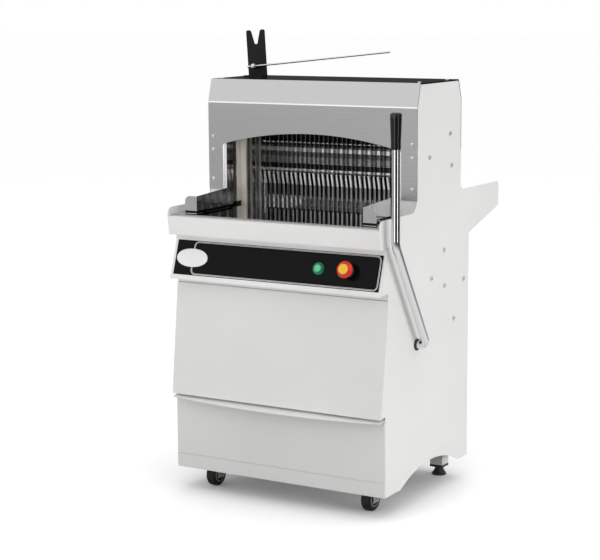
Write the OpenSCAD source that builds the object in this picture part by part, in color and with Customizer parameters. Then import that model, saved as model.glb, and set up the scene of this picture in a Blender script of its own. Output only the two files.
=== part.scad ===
// Floor-standing bread slicer with lever, blade frames and polished table.
// Lengths are in millimetres. X points to the machine's right, Y to its back, Z up, and the floor is Z = 0.
// Places in Y count from the front face of the hood; "ahead" means in front of it.

/* [Cabinet] */
// Width of cabinet over both side panels
body_w = 580; // [579:581]
// Coated sheet of panels and covers
sheet_t = 2; // [1.8:0.1:2.2]
// Gap between cover and panel edge
cover_gap = 1; // [0.9:0.1:1.1]
// Bottom edge of cabinet
skirt_z = 55; // [54:56]
// Height of skirt
skirt_h = 35; // [34:36]
// Front face of skirt and drawer
lower_ahead = 160; // [159:161]
// Rear face of lower cabinet
lower_rear_y = 287; // [286:288]
// Leaning cover above drawer front
drawer_gap = 4.6; // [4.5:0.1:4.7]
// Leaning cover's foot ahead of drawer
cover_out = 18.8; // [18.2:0.1:19.4]
// Height of leaning cover
cover_h = 273.4; // [273:0.1:274]
// Lean of that cover
cover_lean = 31.2; // [31:0.1:32]
// Depth of folded edges of covers
fold_d = 20; // [19:21]
// Centre of bottom cut-out of side panels
arch_y = 78; // [77:79]
// Height of bottom cut-out
arch_h = 37; // [36:38]
// Radius of that cut-out
arch_r = 352; // [351:353]
// Bottom plate above skirt's edge
base_up = 37; // [36:38]
// Base plate thickness
base_t = 3; // [2.9:0.1:3.1]

/* [Fascia] */
// Fascia's lip above leaning cover
fascia_gap = 13; // [12:14]
// Height of fascia's lip
fascia_lip_h = 11.4; // [11.1:0.1:11.7]
// Black plate's foot ahead of cover's top
fascia_out = 29.8; // [29:0.1:30]
// Height of black plate
fascia_h = 81; // [80:82]
// Lean of black plate
fascia_lean = 26.9; // [26:0.1:27]
// Side margin of black plate
fascia_in = 8; // [7:9]
// Thickness of black plate
fascia_t = 1.5; // [1.35:0.1:1.65]
// Badge's centre from plate's end
badge_in = 48; // [47:49]
// Length of badge
badge_w = 88; // [87:89]
// Height of badge
badge_h = 45; // [44:46]
// Thickness of badge
badge_t = 1.2; // [1.08:0.1:1.32]
// Spacing of the two buttons
button_pitch = 78.3; // [78:0.1:79]
// Stop button from plate's end
stop_in = 84; // [83:85]
// Height of both buttons up fascia
button_up = 43; // [42:44]
// Outside of start button's ring
ring_d = 29.5; // [29:0.1:30]
// Height of that ring
ring_h = 5; // [4.9:0.1:5.1]
// Green cap
cap_d = 23; // [22:24]
// How far cap stands out of ring
cap_out = 3; // [2.9:0.1:3.1]
// Stroke of start button
cap_stroke = 4; // [3.9:0.1:4.1]
// Threaded barrel of both buttons
barrel_d = 22; // [21:23]
// Length of that barrel behind fascia
barrel_len = 30; // [29:31]
// Plunger in barrel
plunger_d = 18; // [17:19]
// Plunger length in barrel
plunger_len = 22; // [21:23]
// Contact block's square side
contact_w = 34; // [33:35]
// Contact block depth
contact_d = 28; // [27:29]
// Yellow collar under stop head
collar_h = 7; // [6.8:0.1:7.2]
// Stop head
stop_d = 40; // [39:41]
// Thickness of stop head's rim
stop_rim = 8; // [7:9]
// Rise of stop head's dome
stop_dome = 7; // [6.8:0.1:7.2]
// Space between collar and stop head
stop_space = 7; // [6.8:0.1:7.2]
// Stroke of stop head
stop_stroke = 5; // [4.9:0.1:5.1]

/* [Table] */
// Table above tray's lip
table_up = 5; // [4.9:0.1:5.1]
// Table sheet
table_t = 2; // [1.8:0.1:2.2]
// Tray above black plate
tray_gap = 15.6; // [15.1:0.1:16.1]
// Tray ahead of black plate's foot
tray_out = 2.6; // [2.5:0.1:2.7]
// Height of tray's front
tray_h = 45; // [44:46]
// Lean of tray's front
tray_lean = 5; // [4.9:0.1:5.1]
// Depth of tray
tray_d = 48; // [47:49]
// Rounded corner of tray's sides
tray_r = 16; // [15:17]
// Width of lip's inward fold
tray_fold = 9; // [8:10]
// Table behind tray's lip
table_in = 11; // [10:12]
// Table's end before tray's tip
table_short = 12; // [11:13]
// Width of slots that blades run in
slot_w = 3.4; // [3.3:0.1:3.5]
// Slots' ends from blades
slot_end = 5; // [4.9:0.1:5.1]
// Fence from side
fence_in = 62; // [61:63]
// Fence sheet
fence_t = 1.5; // [1.35:0.1:1.65]
// Fence height over table
fence_h = 42; // [41:43]
// Fences behind table's edge
fence_back = 24; // [23:25]
// Fences' end before guides
fence_short = 7; // [6.8:0.1:7.2]
// Outward reach of fence's front flange
fence_flange = 34; // [33:35]
// Rounded corner of front flange
fence_r = 14; // [13:15]
// Depth of fence's foot
fence_foot = 26; // [25:27]
// Wing screw from fence
wing_out = 24; // [23:25]
// Inward travel of a fence
fence_travel = 30; // [29:31]
// Shank of wing screw
wing_d = 6; // [5.8:0.1:6.2]
// Hub of wing screw
wing_hub_d = 12; // [11:13]
// Height of that hub
wing_hub_h = 8; // [7:9]
// Span of wings
wing_span = 26; // [25:27]
// Wing thickness
wing_t = 3; // [2.9:0.1:3.1]
// Height of wings
wing_h = 12; // [11:13]

/* [Hood] */
// Cabinet sides above table
side_up = 16; // [15:17]
// Inner radius between side top edge and hood
notch_r = 24; // [23:25]
// Hood's steel above table
hood_leg_up = 43; // [42:44]
// Height of hood's flat front
hood_h = 216.5; // [216:0.1:217]
// Height of hood's slanted strip
strip_h = 56.5; // [56:0.1:57]
// Lean of slanted strip, front and rear
hood_lean = 15.5; // [15:0.1:16]
// Depth of hood
hood_d = 237.6; // [237:0.1:238]
// Height of slanted strip behind
rear_strip_h = 48; // [47:49]
// Height of hood's flat rear
rear_h = 121.5; // [121:0.1:122]
// Mouth from side
mouth_in = 51; // [50:52]
// Mouth's crown below hood's bend
mouth_down = 70.5; // [70:0.1:71]
// Radius of mouth's arch
mouth_r = 967; // [966:968]
// Depth of mouth's side folds
mouth_fold = 10; // [9:11]
// Gap behind steel front
steel_gap = 0.5; // [0.45:0.05:0.55]
// Lid thickness
lid_t = 3; // [2.9:0.1:3.1]
// Height of bevel behind hood
wing_bevel_h = 9.5; // [9.2:0.1:9.8]
// Depth of that bevel
wing_bevel = 12.4; // [12:0.1:12.8]
// Rear tray sides above table
wing_up = 46.5; // [46:0.1:47]
// Reach of rear tray
wing_reach = 177; // [176:178]
// Rear tray's tip below table
wing_drop = 15.3; // [14.8:0.1:15.8]
// Rounded corner of wing's tip
wing_tip_r = 10; // [9:11]
// Fall of rear tray's underside
wing_slope = 50; // [49:51]
// Chamber wall from side
chamber_in = 40; // [39:41]
// Chamber wall sheet
chamber_t = 1.5; // [1.35:0.1:1.65]
// Front end of chamber walls
chamber_front_y = 5; // [4.9:0.1:5.1]
// Chamber walls below hood's bend
chamber_down = 8.5; // [8.2:0.1:8.8]
// Lip of rear tray over table
rear_lip_h = 11; // [10:12]
// Table rib from side
rib_in = 40; // [39:41]
// Louvre length
louvre_w = 150; // [149:151]
// Louvre height
louvre_h = 6; // [5.8:0.1:6.2]
// Distance between louvres
louvre_pitch = 18; // [17:19]
// Lowest louvre above deck
louvre_up = 57; // [56:58]
// Louvres in rear cover
louvre_count = 9; // [7:10]
// Cable gland from side
gland_in = 92; // [91:93]
// Cable gland above bottom plate
gland_up = 48; // [47:49]
// Thread of cable gland
gland_d = 20; // [19:21]
// Hexagon of cable gland across corners
gland_hex_d = 27; // [26:28]
// Height of that hexagon
gland_hex_h = 8; // [7:9]
// Hole in cable gland
gland_hole_d = 9; // [8:10]
// Length of cable gland's dome
gland_dome_h = 12; // [11:13]

/* [Blades] */
// Distance between neighbouring blades
blade_pitch = 13; // [12:14]
// Least space beside outermost blades
blade_end = 14; // [13:15]
// Blade thickness
blade_t = 0.8; // [0.72:0.08:0.88]
// Blade width
blade_w = 14; // [13:15]
// Depth of blade's teeth
tooth_d = 2; // [1.8:0.1:2.2]
// Teeth along one blade
tooth_count = 20; // [18:21]
// Middle between both blade planes
blade_mid_y = 122; // [121:123]
// Distance between blade planes
plane_gap = 44; // [43:45]
// Eccentricity: half stroke
crank_e = 12; // [11:13]
// Frame bar thickness, front to back
frame_t = 14; // [13:15]
// Frame bar height
frame_h = 20; // [19:21]
// Width of frame uprights
upright_w = 13.5; // [13.1:0.1:13.9]
// Blade frames below table
frame_drop = 91; // [90:92]
// Blade frames below hood's bend
frame_down = 11.5; // [11.2:0.1:11.8]
// Depth of guide rails
guide_d = 74; // [73:75]
// Inner face of guide rail from side
guide_in = 54; // [53:55]
// Width of guide rails
guide_w = 25; // [24:26]
// Guides above frames' upper reach
guide_over = 6; // [5.8:0.1:6.2]
// Play of uprights in their grooves, each side
guide_play = 0.2; // [0.18:0.02:0.22]
// Columns above table
column_up = 23; // [22:24]

/* [Drive] */
// Deck above drawer box
deck_up = 15; // [14:16]
// Deck sheet
deck_t = 3; // [2.9:0.1:3.1]
// Deck behind drawer front
deck_in = 35; // [34:36]
// Crumb opening from side
chute_in = 125; // [124:126]
// Crumb opening ahead of blades
chute_front = 60; // [59:61]
// Crumb opening behind blades
chute_rear = 64; // [63:65]
// Crank's axis above deck
crank_up = 87; // [86:88]
// Eccentric shaft
crank_d = 25; // [24:26]
// Eccentric discs
ecc_d = 58; // [57:59]
// Width of discs and rods
rod_t = 16; // [15:17]
// Front rod from stand
front_rod_in = 36; // [35:37]
// Rear rod from front rod
rod_pitch = 32; // [31:33]
// Radial play of running fits
run_play = 0.05; // [0.04:0.01:0.06]
// Outside of a rod's big end
big_end_d = 82; // [81:83]
// Rod's shank width
shank_w = 22; // [21:23]
// Rod's small end
small_end_d = 34; // [33:35]
// Bore of small end
wrist_d = 14; // [13:15]
// Wrist pins below frames
wrist_drop = 93; // [92:94]
// Hanger plate of frames
hanger_t = 8; // [7:9]
// Width of hangers
hanger_w = 26; // [25:27]
// Space between a rod and its hanger
hanger_gap = 3; // [2.9:0.1:3.1]
// Bearing stand from side
stand_in = 104; // [103:105]
// Bearing stand thickness
stand_t = 18; // [17:19]
// Foot width of bearing stands
stand_foot_w = 100; // [99:101]
// Head of bearing stands
stand_head_d = 58; // [57:59]
// Crank pulley
pulley_d = 150; // [149:151]
// Motor pulley
drive_d = 70; // [69:71]
// Pulley width
pulley_w = 20; // [19:21]
// Belt from side
belt_in = 76; // [75:77]
// Belt width
belt_w = 10; // [9:11]
// Belt thickness
belt_t = 6; // [5.8:0.1:6.2]
// Belt groove depth
groove_d = 9; // [8:10]
// Clearance of belt in its grooves
belt_gap = 0.4; // [0.36:0.04:0.44]
// Motor's axis behind drawer front
motor_in = 100; // [99:101]
// Motor's axis above deck
motor_up = 75; // [74:76]
// Motor housing
motor_d = 130; // [129:131]
// Left end of motor housing from centre
motor_left = 70; // [69:71]
// Right end of motor housing from centre
motor_right = 130; // [129:131]
// Fan cowl length
cowl_len = 40; // [39:41]
// Fan cowl
cowl_d = 122; // [121:123]
// Motor shaft
motor_shaft_d = 19; // [18:20]
// Depth of motor shaft in housing
motor_bore = 30; // [29:31]
// Motor foot width
motor_foot_w = 110; // [109:111]
// Motor foot length
motor_foot_len = 130; // [129:131]
// Terminal box side
terminal_w = 60; // [59:61]
// Terminal box top over housing
terminal_h = 24; // [23:25]
// Control box width
control_w = 96; // [95:97]
// Control box depth
control_d = 70; // [69:71]
// Control box height
control_h = 150; // [149:151]
// Control box from motor
control_gap = 25; // [24:26]
// Control box behind drawer front
control_back = 60; // [59:61]

/* [Lever] */
// Lever's axis below table
lever_drop = 298; // [297:299]
// Place of lever's shaft behind hood
lever_y = 1.2; // [1.08:0.1:1.32]
// Lever plane outside side panel
lever_out = 26.6; // [26:0.1:27]
// Lever tube
lever_d = 20; // [19:21]
// Elbow behind drawer front
elbow_in = 1.4; // [1.26:0.1:1.54]
// Lever's elbow below table
elbow_drop = 40; // [39:41]
// Bend radius at elbow
elbow_r = 40; // [39:41]
// Bend radius at shaft
bend_r = 20; // [19:21]
// Swelling of tube in its bends
bend_swell = 0.1; // [0.09:0.01:0.11]
// Length of grip
grip_len = 83.5; // [83:0.1:84]
// Grip's top above hood's bend
grip_up = 1; // [0.9:0.1:1.1]
// Grip at bottom
grip_low_d = 22.6; // [22:0.1:23]
// Grip at top
grip_top_d = 27; // [26:28]
// Crown of grip
grip_crown = 5; // [4.9:0.1:5.1]
// Play between tube and grip
grip_play = 0.1; // [0.09:0.01:0.11]
// Bush ring outside panel
bush_ring_d = 28; // [27:29]
// Thickness of that ring
bush_ring_t = 3; // [2.9:0.1:3.1]
// Bush sleeve
bush_d = 24; // [23:25]
// Bush length inside panel
bush_in = 12; // [11:13]
// Slotted arm from side
arm_in = 27; // [26:28]
// Thickness of slotted arms
arm_t = 12; // [11:13]
// Width of slotted arms
arm_w = 32; // [31:33]
// Arm beyond roller
arm_end = 13; // [12:14]
// Slot short of roller
arm_back = 31.5; // [31:0.1:32]
// Wall beyond slot's end
arm_wall = 5.5; // [5.3:0.1:5.7]
// Clearance of roller in slot, each side
arm_play = 2.6; // [2.5:0.1:2.7]

/* [Pusher] */
// Drive roller of pusher
roller_d = 12; // [11:13]
// Rollers below rails
roller_drop = 51; // [50:52]
// Rollers behind drawer front
roller_in = 56; // [55:57]
// Round slide rails
rail_d = 12; // [11:13]
// Slide rail from side
rail_in = 14; // [13:15]
// Slide rails below table
rail_drop = 21; // [20:22]
// Rails behind table's edge
rail_back = 6; // [5.8:0.1:6.2]
// Rails behind rear face
rail_reach = 115; // [114:116]
// Carriage bar width
bar_w = 16; // [15:17]
// Carriage bar height
bar_h = 24; // [23:25]
// Bars ahead of rollers
bar_over = 41; // [40:42]
// Beam that holds rails, thickness
beam_t = 10; // [9:11]
// Carriage plates
plate_t = 4; // [3.9:0.1:4.1]
// Depth of carriage uprights
stem_d = 30; // [29:31]
// Uprights' lap over plate
stem_lap = 5; // [4.9:0.1:5.1]
// Pusher plate behind blades
push_back = 43; // [42:44]
// Pusher plate sheet
push_t = 3; // [2.9:0.1:3.1]
// Pusher plate above table
push_up = 83; // [82:84]
// Height of pusher plate
push_h = 62; // [61:63]
// Depth of plate's top fold
push_fold = 65; // [64:66]
// Front bar on plate's top
push_bar_h = 14; // [13:15]
// Depth of that bar
push_bar_d = 4; // [3.9:0.1:4.1]
// Width of a comb finger
finger_w = 6; // [5.8:0.1:6.2]
// Thickness of a comb finger
finger_t = 3; // [2.9:0.1:3.1]
// Height of fingers' slant
finger_bend = 32; // [31:33]
// Finger tips above table
finger_up = 15; // [14:16]
// Half of fingers' slant
finger_half = 4; // [3.9:0.1:4.1]
// Comb bar height
comb_bar_h = 22; // [21:23]
// Comb bar depth
comb_bar_d = 5; // [4.9:0.1:5.1]

/* [Drawer] */
// Height of drawer front
drawer_h = 150; // [149:151]
// Drawer sheet
drawer_t = 1.5; // [1.35:0.1:1.65]
// Drawer box from side
drawer_in = 35; // [34:36]
// Drawer box above bottom plate
drawer_lift = 3; // [2.9:0.1:3.1]
// Height of drawer box
drawer_box_h = 130; // [129:131]
// Drawer's end before rear face
drawer_short = 109; // [108:110]
// Flange on which drawer hangs
drawer_flange = 14; // [13:15]
// Depth of pull lip at ends
lip_end = 21; // [20:22]
// Depth of pull lip at middle
lip_mid = 40; // [39:41]
// Lip's end from side
lip_in = 3; // [2.9:0.1:3.1]
// Sheet of pull lip
lip_t = 2.5; // [2.4:0.1:2.6]

/* [Feet] */
// Castor wheel
wheel_d = 60; // [59:61]
// Width of castor wheel
wheel_w = 24; // [23:25]
// Wheel from side
wheel_in = 71; // [70:72]
// Wheels behind drawer front
wheel_back = 64; // [63:65]
// Castor axle
axle_d = 8; // [7:9]
// Recess in wheel's sides, depth
hub_recess = 3; // [2.9:0.1:3.1]
// Rim of wheel's hub
hub_d = 40; // [39:41]
// Boss at wheel's middle
boss_d = 18; // [17:19]
// Fork sheet
fork_t = 3; // [2.9:0.1:3.1]
// Space between wheel and fork
fork_gap = 1.2; // [1.08:0.1:1.32]
// Fork leg width
fork_w = 26; // [25:27]
// Fork plate length
fork_plate = 64; // [63:65]
// Leg from side
leg_in = 66; // [65:67]
// Legs before rear face
leg_back = 24; // [23:25]
// Side of square leg tube
leg_w = 35; // [34:36]
// Wall of leg tube
leg_t = 2.5; // [2.4:0.1:2.6]
// Legs below skirt's edge
leg_drop = 27; // [26:28]
// Plug flange thickness
plug_t = 6; // [5.8:0.1:6.2]
// Plug depth in tube
plug_in = 18; // [17:19]
// Foot pad
foot_d = 36; // [35:37]
// Edge height of foot pad
foot_rim = 5; // [4.9:0.1:5.1]
// Foot at top of cone
foot_neck_d = 20; // [19:21]
// Stud of foot
stud_d = 10; // [9:11]
// Stud inside leg
stud_in = 42; // [41:43]

/* [Bag post] */
// Post from side
post_in = 48; // [47:49]
// Post before hood's rear
post_back = 77.6; // [77:0.1:78]
// Width of bag post
post_w = 54; // [53:55]
// Height of bag post
post_h = 117; // [116:118]
// Post sheet
post_t = 3; // [2.9:0.1:3.1]
// Foot flange of post
post_foot = 28; // [27:29]
// Width of notch at top
post_notch_w = 32; // [31:33]
// Depth of notch
post_notch_d = 36; // [35:37]
// Radius of notch's bottom
post_notch_r = 6; // [5.8:0.1:6.2]
// Bag rod
bag_rod_d = 5; // [4.9:0.1:5.1]
// Rod's pin from post's middle
bag_pivot_out = 4; // [3.9:0.1:4.1]
// Rod's pin above lid
bag_pivot_up = 26; // [25:27]
// Rod length right of pivot
bag_long = 388; // [387:389]
// Rod length left of pivot
bag_short = 22; // [21:23]
// Rod ahead of post
bag_ahead = 11; // [10:12]
// Hub of rod
bag_hub_d = 14; // [13:15]
// Length of rod's hub
bag_hub_len = 9; // [8:10]
// Pivot pin of rod
bag_pin_d = 6; // [5.8:0.1:6.2]

/* [Fasteners] */
// Head of panel bolts
bolt_head_d = 12; // [11:13]
// Height of panel bolts' heads
bolt_head_h = 3.5; // [3.4:0.1:3.6]
// Shank of bolts
bolt_d = 6; // [5.8:0.1:6.2]
// Play of a shank in its hole
bolt_play = 0.3; // [0.27:0.03:0.33]
// Nut across corners
nut_d = 11; // [10:12]
// Nut height
nut_h = 5; // [4.9:0.1:5.1]
// First bright bolt, behind hood
bright_a_y = 175; // [174:176]
// Its height above table
bright_a_up = 189; // [188:190]
// Second bright bolt, behind hood
bright_b_y = 64; // [63:65]
// Its height above table
bright_b_up = 140; // [139:141]
// Third bright bolt, behind hood
bright_c_y = 183; // [182:184]
// Its height above table
bright_c_up = 112; // [111:113]
// First painted bolt, behind hood
dome_a_y = 145; // [144:146]
// Its depth below table
dome_a_down = 90.4; // [90:0.1:91]
// Second painted bolt, behind hood
dome_b_y = 78; // [77:79]
// Its depth below table
dome_b_down = 151; // [150:152]
// Third painted bolt, behind hood
dome_c_y = 148; // [147:149]
// Its depth below table
dome_c_down = 178; // [177:179]
// Fourth painted bolt, behind hood
dome_d_y = 256; // [255:257]
// Its depth below table
dome_d_down = 177; // [176:178]
// Fifth painted bolt, behind hood
dome_e_y = 202; // [201:203]
// Its depth below table
dome_e_down = 268; // [267:269]
// Hood screw heads
screw_d = 9; // [8:10]
// Height of hood screw heads
screw_h = 2.5; // [2.4:0.1:2.6]
// Hood screws from side
screw_in = 13; // [12:14]
// Low hood screws above hood's leg
screw_low_up = 26; // [25:27]
// Middle ones
screw_mid_up = 99; // [98:100]
// High ones
screw_high_up = 131; // [130:132]
// Lid screws from side
lid_screw_in = 16; // [15:17]
// Front lid screws behind hood
lid_screw_front_y = 42; // [41:43]
// Rear lid screws before hood's rear
lid_screw_back = 47.6; // [47:0.1:48]

/* [Angles] */
// Downward tilt of the drawer's pull lip
lip_deg = 12; // [10:0.5:14]
// Lean of the bag post to the left
post_deg = 3.5; // [2:0.5:5]
// Upward tilt of the bag rod
bag_deg = 5.9; // [4:0.1:7]
// Forward lean of slotted arms that centres the rollers
slot_bias_deg = 0.25; // [0.2:0.05:0.3]

/* [Hidden] */
// One node's name, or "all" for the whole machine
// Overrun of cuts
over = 1;
$fn = 48;
half_w = body_w / 2;
panel_x = half_w - sheet_t;
inside_x = panel_x - steel_gap;
edge_set = sheet_t + cover_gap;
steel_set = sheet_t + steel_gap;
fascia_w = body_w - 2 * fascia_in;
badge_x = fascia_w / 2 - badge_in;
stop_x = fascia_w / 2 - stop_in;
start_x = stop_x - button_pitch;
rail_x = half_w - rail_in;
chamber_x = half_w - chamber_in;
guide_x = half_w - guide_in;
table_half_in = guide_x + guide_w - chamber_t - steel_gap;
table_half_mid = guide_x - 2 * cover_gap;
upright_x = guide_x + steel_gap;
arm_x = half_w - arm_in;
belt_x = half_w - belt_in;
stand_x = half_w - stand_in;
front_rod_x = stand_x - front_rod_in;
rear_rod_x = front_rod_x - rod_pitch;
blade_count = 2 * floor((upright_x - blade_end) / blade_pitch) + 1;
mouth_half = half_w - mouth_in;
fence_x = half_w - fence_in;
wing_x = fence_x + wing_out;
gland_x = half_w - gland_in;
control_x = motor_left + cowl_len + control_gap;
drawer_half = half_w - drawer_in;
lip_half = half_w - lip_in;
wheel_x = half_w - wheel_in;
leg_x = half_w - leg_in;
post_x = half_w - post_in;
bag_pivot_x = post_x + bag_pivot_out;
seam_z = skirt_z + skirt_h;
base_z = skirt_z + base_up;
leg_low_z = skirt_z - leg_drop;
foot_cone_z = leg_low_z - plug_t - 2 * cover_gap;
gland_z = base_z + gland_up;
drawer_z = base_z + base_t + drawer_lift;
drawer_top_z = drawer_z + drawer_box_h;
deck_z = drawer_top_z + deck_up;
crank_z = deck_z + crank_up;
motor_z = deck_z + motor_up;
cover_low_z = seam_z + drawer_h + drawer_gap;
cover_top_z = cover_low_z + cover_h;
fascia_lip_z = cover_top_z + fascia_gap;
fascia_low_z = fascia_lip_z + fascia_lip_h;
fascia_top_z = fascia_low_z + fascia_h;
tray_low_z = fascia_top_z + tray_gap;
tray_lip_z = tray_low_z + tray_h;
table_z = tray_lip_z + table_up;
table_low_z = table_z - table_t;
side_top_z = table_z + side_up;
hood_leg_z = table_z + hood_leg_up;
hood_bend_z = hood_leg_z + hood_h;
hood_top_z = hood_bend_z + strip_h;
rear_bend_z = hood_top_z - rear_strip_h;
rear_low_z = rear_bend_z - rear_h;
mouth_top_z = hood_bend_z - mouth_down;
wing_top_z = table_z + wing_up;
wing_low_z = table_z - wing_drop;
wing_root_z = wing_low_z - wing_slope;
frame_low_z = table_z - frame_drop;
frame_top_z = hood_bend_z - frame_down;
guide_top_z = frame_top_z + crank_e + guide_over;
wrist_z = frame_low_z - wrist_drop;
rail_z = table_z - rail_drop;
roller_z = rail_z - roller_drop;
lever_z = table_z - lever_drop;
elbow_z = table_z - elbow_drop;
grip_top_z = hood_bend_z + grip_up;
push_low_z = table_z + push_up;
push_top_z = push_low_z + push_h;
finger_top_z = push_low_z - sheet_t;
finger_bend_z = finger_top_z - finger_bend;
bag_pivot_z = hood_top_z + bag_pivot_up;
cover_low_ahead = lower_ahead + cover_out;
cover_top_ahead = cover_low_ahead - cover_lean;
fascia_low_ahead = cover_top_ahead + fascia_out;
fascia_top_ahead = fascia_low_ahead - fascia_lean;
tray_low_ahead = fascia_low_ahead + tray_out;
tray_lip_ahead = tray_low_ahead + tray_lean;
tray_back_ahead = tray_lip_ahead - tray_d;
table_front_ahead = tray_lip_ahead - table_in;
fence_ahead = table_front_ahead - fence_back;
wing_ahead = fence_ahead - fence_foot / 2;
elbow_ahead = lower_ahead - elbow_in;
roller_ahead = lower_ahead - roller_in;
rail_ahead = table_front_ahead - rail_back;
motor_ahead = lower_ahead - motor_in;
wing_tip_y = lower_rear_y + wing_reach;
table_rear_y = wing_tip_y - table_short;
leg_y = lower_rear_y - leg_back;
rail_rear_y = lower_rear_y + rail_reach;
drawer_rear_y = lower_rear_y - drawer_short;
guide_front_y = blade_mid_y - guide_d / 2;
finger_top_y = blade_mid_y - finger_half;
finger_low_y = blade_mid_y + finger_half;
push_y = blade_mid_y + push_back;
stem_y = push_y - stem_lap;
post_y = hood_d - post_back;
bag_y = post_y - bag_ahead;
front_y = blade_mid_y - plane_gap / 2;
rear_y = blade_mid_y + plane_gap / 2;
front_count = (blade_count + 1) / 2;
rear_count = (blade_count - 1) / 2;
blade_low_z = frame_low_z + frame_h;
blade_len = frame_top_z - frame_h - blade_low_z;
fascia_deg = atan((fascia_low_ahead - fascia_top_ahead) / (fascia_top_z - fascia_low_z));
fascia_len = norm([fascia_low_ahead - fascia_top_ahead, fascia_top_z - fascia_low_z]);
fascia_lip_ahead = fascia_low_ahead + (fascia_low_z - fascia_lip_z) * tan(fascia_deg);
cover_deg = atan((cover_low_ahead - cover_top_ahead) / (cover_top_z - cover_low_z));
wing_deg = atan((wing_low_z - wing_root_z) / (wing_tip_y - lower_rear_y));
lever_x = half_w + lever_out;
lever_deg = atan((elbow_ahead + lever_y) / (elbow_z - lever_z));
lever_len = norm([elbow_ahead + lever_y, elbow_z - lever_z]);
elbow_trim = elbow_r * tan(lever_deg / 2);
arm_deg = atan((roller_ahead + lever_y) / (roller_z - lever_z)) + slot_bias_deg;
roller_dist = norm([roller_ahead + lever_y, roller_z - lever_z]);
arm_len = roller_dist + arm_end;
arm_slot = roller_dist - arm_back;
belt_span = norm([blade_mid_y + motor_ahead, crank_z - motor_z]);
belt_deg = atan2(crank_z - motor_z, blade_mid_y + motor_ahead);
lip_r = (lip_half * lip_half + (lip_mid - lip_end) * (lip_mid - lip_end)) / (2 * (lip_mid - lip_end));
front_reach = lower_ahead + lip_mid * cos(lip_deg);
origin_x = (lever_out + grip_top_d / 2 - bolt_head_h) / 2;
origin_y = (wing_tip_y - front_reach) / 2;
bright_places = [
  [bright_a_y, table_z + bright_a_up], [bright_b_y, table_z + bright_b_up],
  [bright_c_y, table_z + bright_c_up]
];
dome_places = [
  [dome_a_y, table_z - dome_a_down], [dome_b_y, table_z - dome_b_down],
  [dome_c_y, table_z - dome_c_down], [dome_d_y, table_z - dome_d_down],
  [dome_e_y, table_z - dome_e_down]
];
coat = [0.90, 0.90, 0.89];
steel = [0.70, 0.70, 0.71];
bright = [0.82, 0.83, 0.85];
dark = [0.10, 0.10, 0.11];
nylon = [0.86, 0.80, 0.66];
iron = [0.33, 0.35, 0.38];

// Puts the middle of the machine's bottom at the origin.
module place() {
  translate([-origin_x, -origin_y, 0]) children();
}

// Box between two opposite corners.
module box(low, high) {
  translate(low) cube(high - low);
}

// Side-view outline drawn in (Y, Z), pushed along X from x0.
module side_view(x0, depth) {
  translate([x0, 0, 0]) rotate([90, 0, 90]) linear_extrude(height = depth) children();
}

// Front-view outline drawn in (X, Z), pushed along Y from y0.
module front_view(y0, depth) {
  translate([0, y0 + depth, 0]) rotate([90, 0, 0]) linear_extrude(height = depth) children();
}

// Plan outline drawn in (X, Y), pushed up from z0.
module plan_view(z0, depth) {
  translate([0, 0, z0]) linear_extrude(height = depth) children();
}

// Round bar along X between two places.
module bar_x(x0, x1, d, y, z) {
  translate([x0, y, z]) rotate([0, 90, 0]) cylinder(h = x1 - x0, d = d);
}

// Round bar along Y between two places.
module bar_y(y0, y1, d, x, z) {
  translate([x, y0, z]) rotate([-90, 0, 0]) cylinder(h = y1 - y0, d = d);
}

// The same piece on the right and, mirrored, on the left.
module both_sides() {
  children();
  mirror([1, 0, 0]) children();
}

// Local frame on the fascia: Z out of the plate, Y up along it.
module on_fascia(x, up) {
  translate([x, -fascia_low_ahead, fascia_low_z]) rotate([90 - fascia_deg, 0, 0])
    translate([0, up, 0]) children();
}

// Outline of a side panel, with the cut-out at its bottom.
module panel_outline() {
  low_front = -lower_ahead + edge_set;
  hood_front_y = steel_set;
  hood_rear_y = hood_d - steel_set;
  lid_low_z = hood_top_z - lid_t - steel_gap;
  tip_z = wing_top_z - wing_tip_r;
  difference() {
    union() {
      polygon([
        [low_front, skirt_z],
        [low_front, cover_low_z + edge_set],
        [-cover_low_ahead + edge_set, cover_low_z + edge_set],
        [-cover_top_ahead + edge_set, cover_top_z - edge_set],
        [-cover_top_ahead + edge_set, fascia_lip_z + edge_set],
        [-fascia_lip_ahead + edge_set + fascia_t, fascia_lip_z + edge_set],
        [-fascia_top_ahead + edge_set + fascia_t, fascia_top_z],
        [-fascia_top_ahead + edge_set + fascia_t, tray_low_z - cover_gap],
        [-tray_back_ahead + cover_gap, tray_low_z - cover_gap],
        [-tray_back_ahead + cover_gap, side_top_z],
        [0, side_top_z],
        [0, hood_leg_z - cover_gap],
        [hood_front_y, hood_leg_z - cover_gap],
        [hood_front_y, hood_bend_z],
        [hood_lean + hood_front_y, lid_low_z],
        [hood_rear_y - hood_lean, lid_low_z],
        [hood_rear_y, rear_bend_z],
        [hood_rear_y, rear_low_z - cover_gap],
        [hood_d, rear_low_z - cover_gap],
        [hood_d, wing_top_z + wing_bevel_h],
        [hood_d + wing_bevel, wing_top_z],
        [wing_tip_y - wing_tip_r, wing_top_z],
        [wing_tip_y - wing_tip_r, tip_z],
        [wing_tip_y, tip_z],
        [wing_tip_y, wing_low_z],
        [lower_rear_y, wing_root_z],
        [lower_rear_y, skirt_z],
      ]);
      translate([wing_tip_y - wing_tip_r, tip_z]) circle(r = wing_tip_r);
      translate([-notch_r, side_top_z]) difference() {
        square(notch_r);
        translate([0, notch_r]) circle(r = notch_r);
      }
    }
    translate([arch_y, skirt_z + arch_h - arch_r]) circle(r = arch_r);
  }
}

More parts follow.
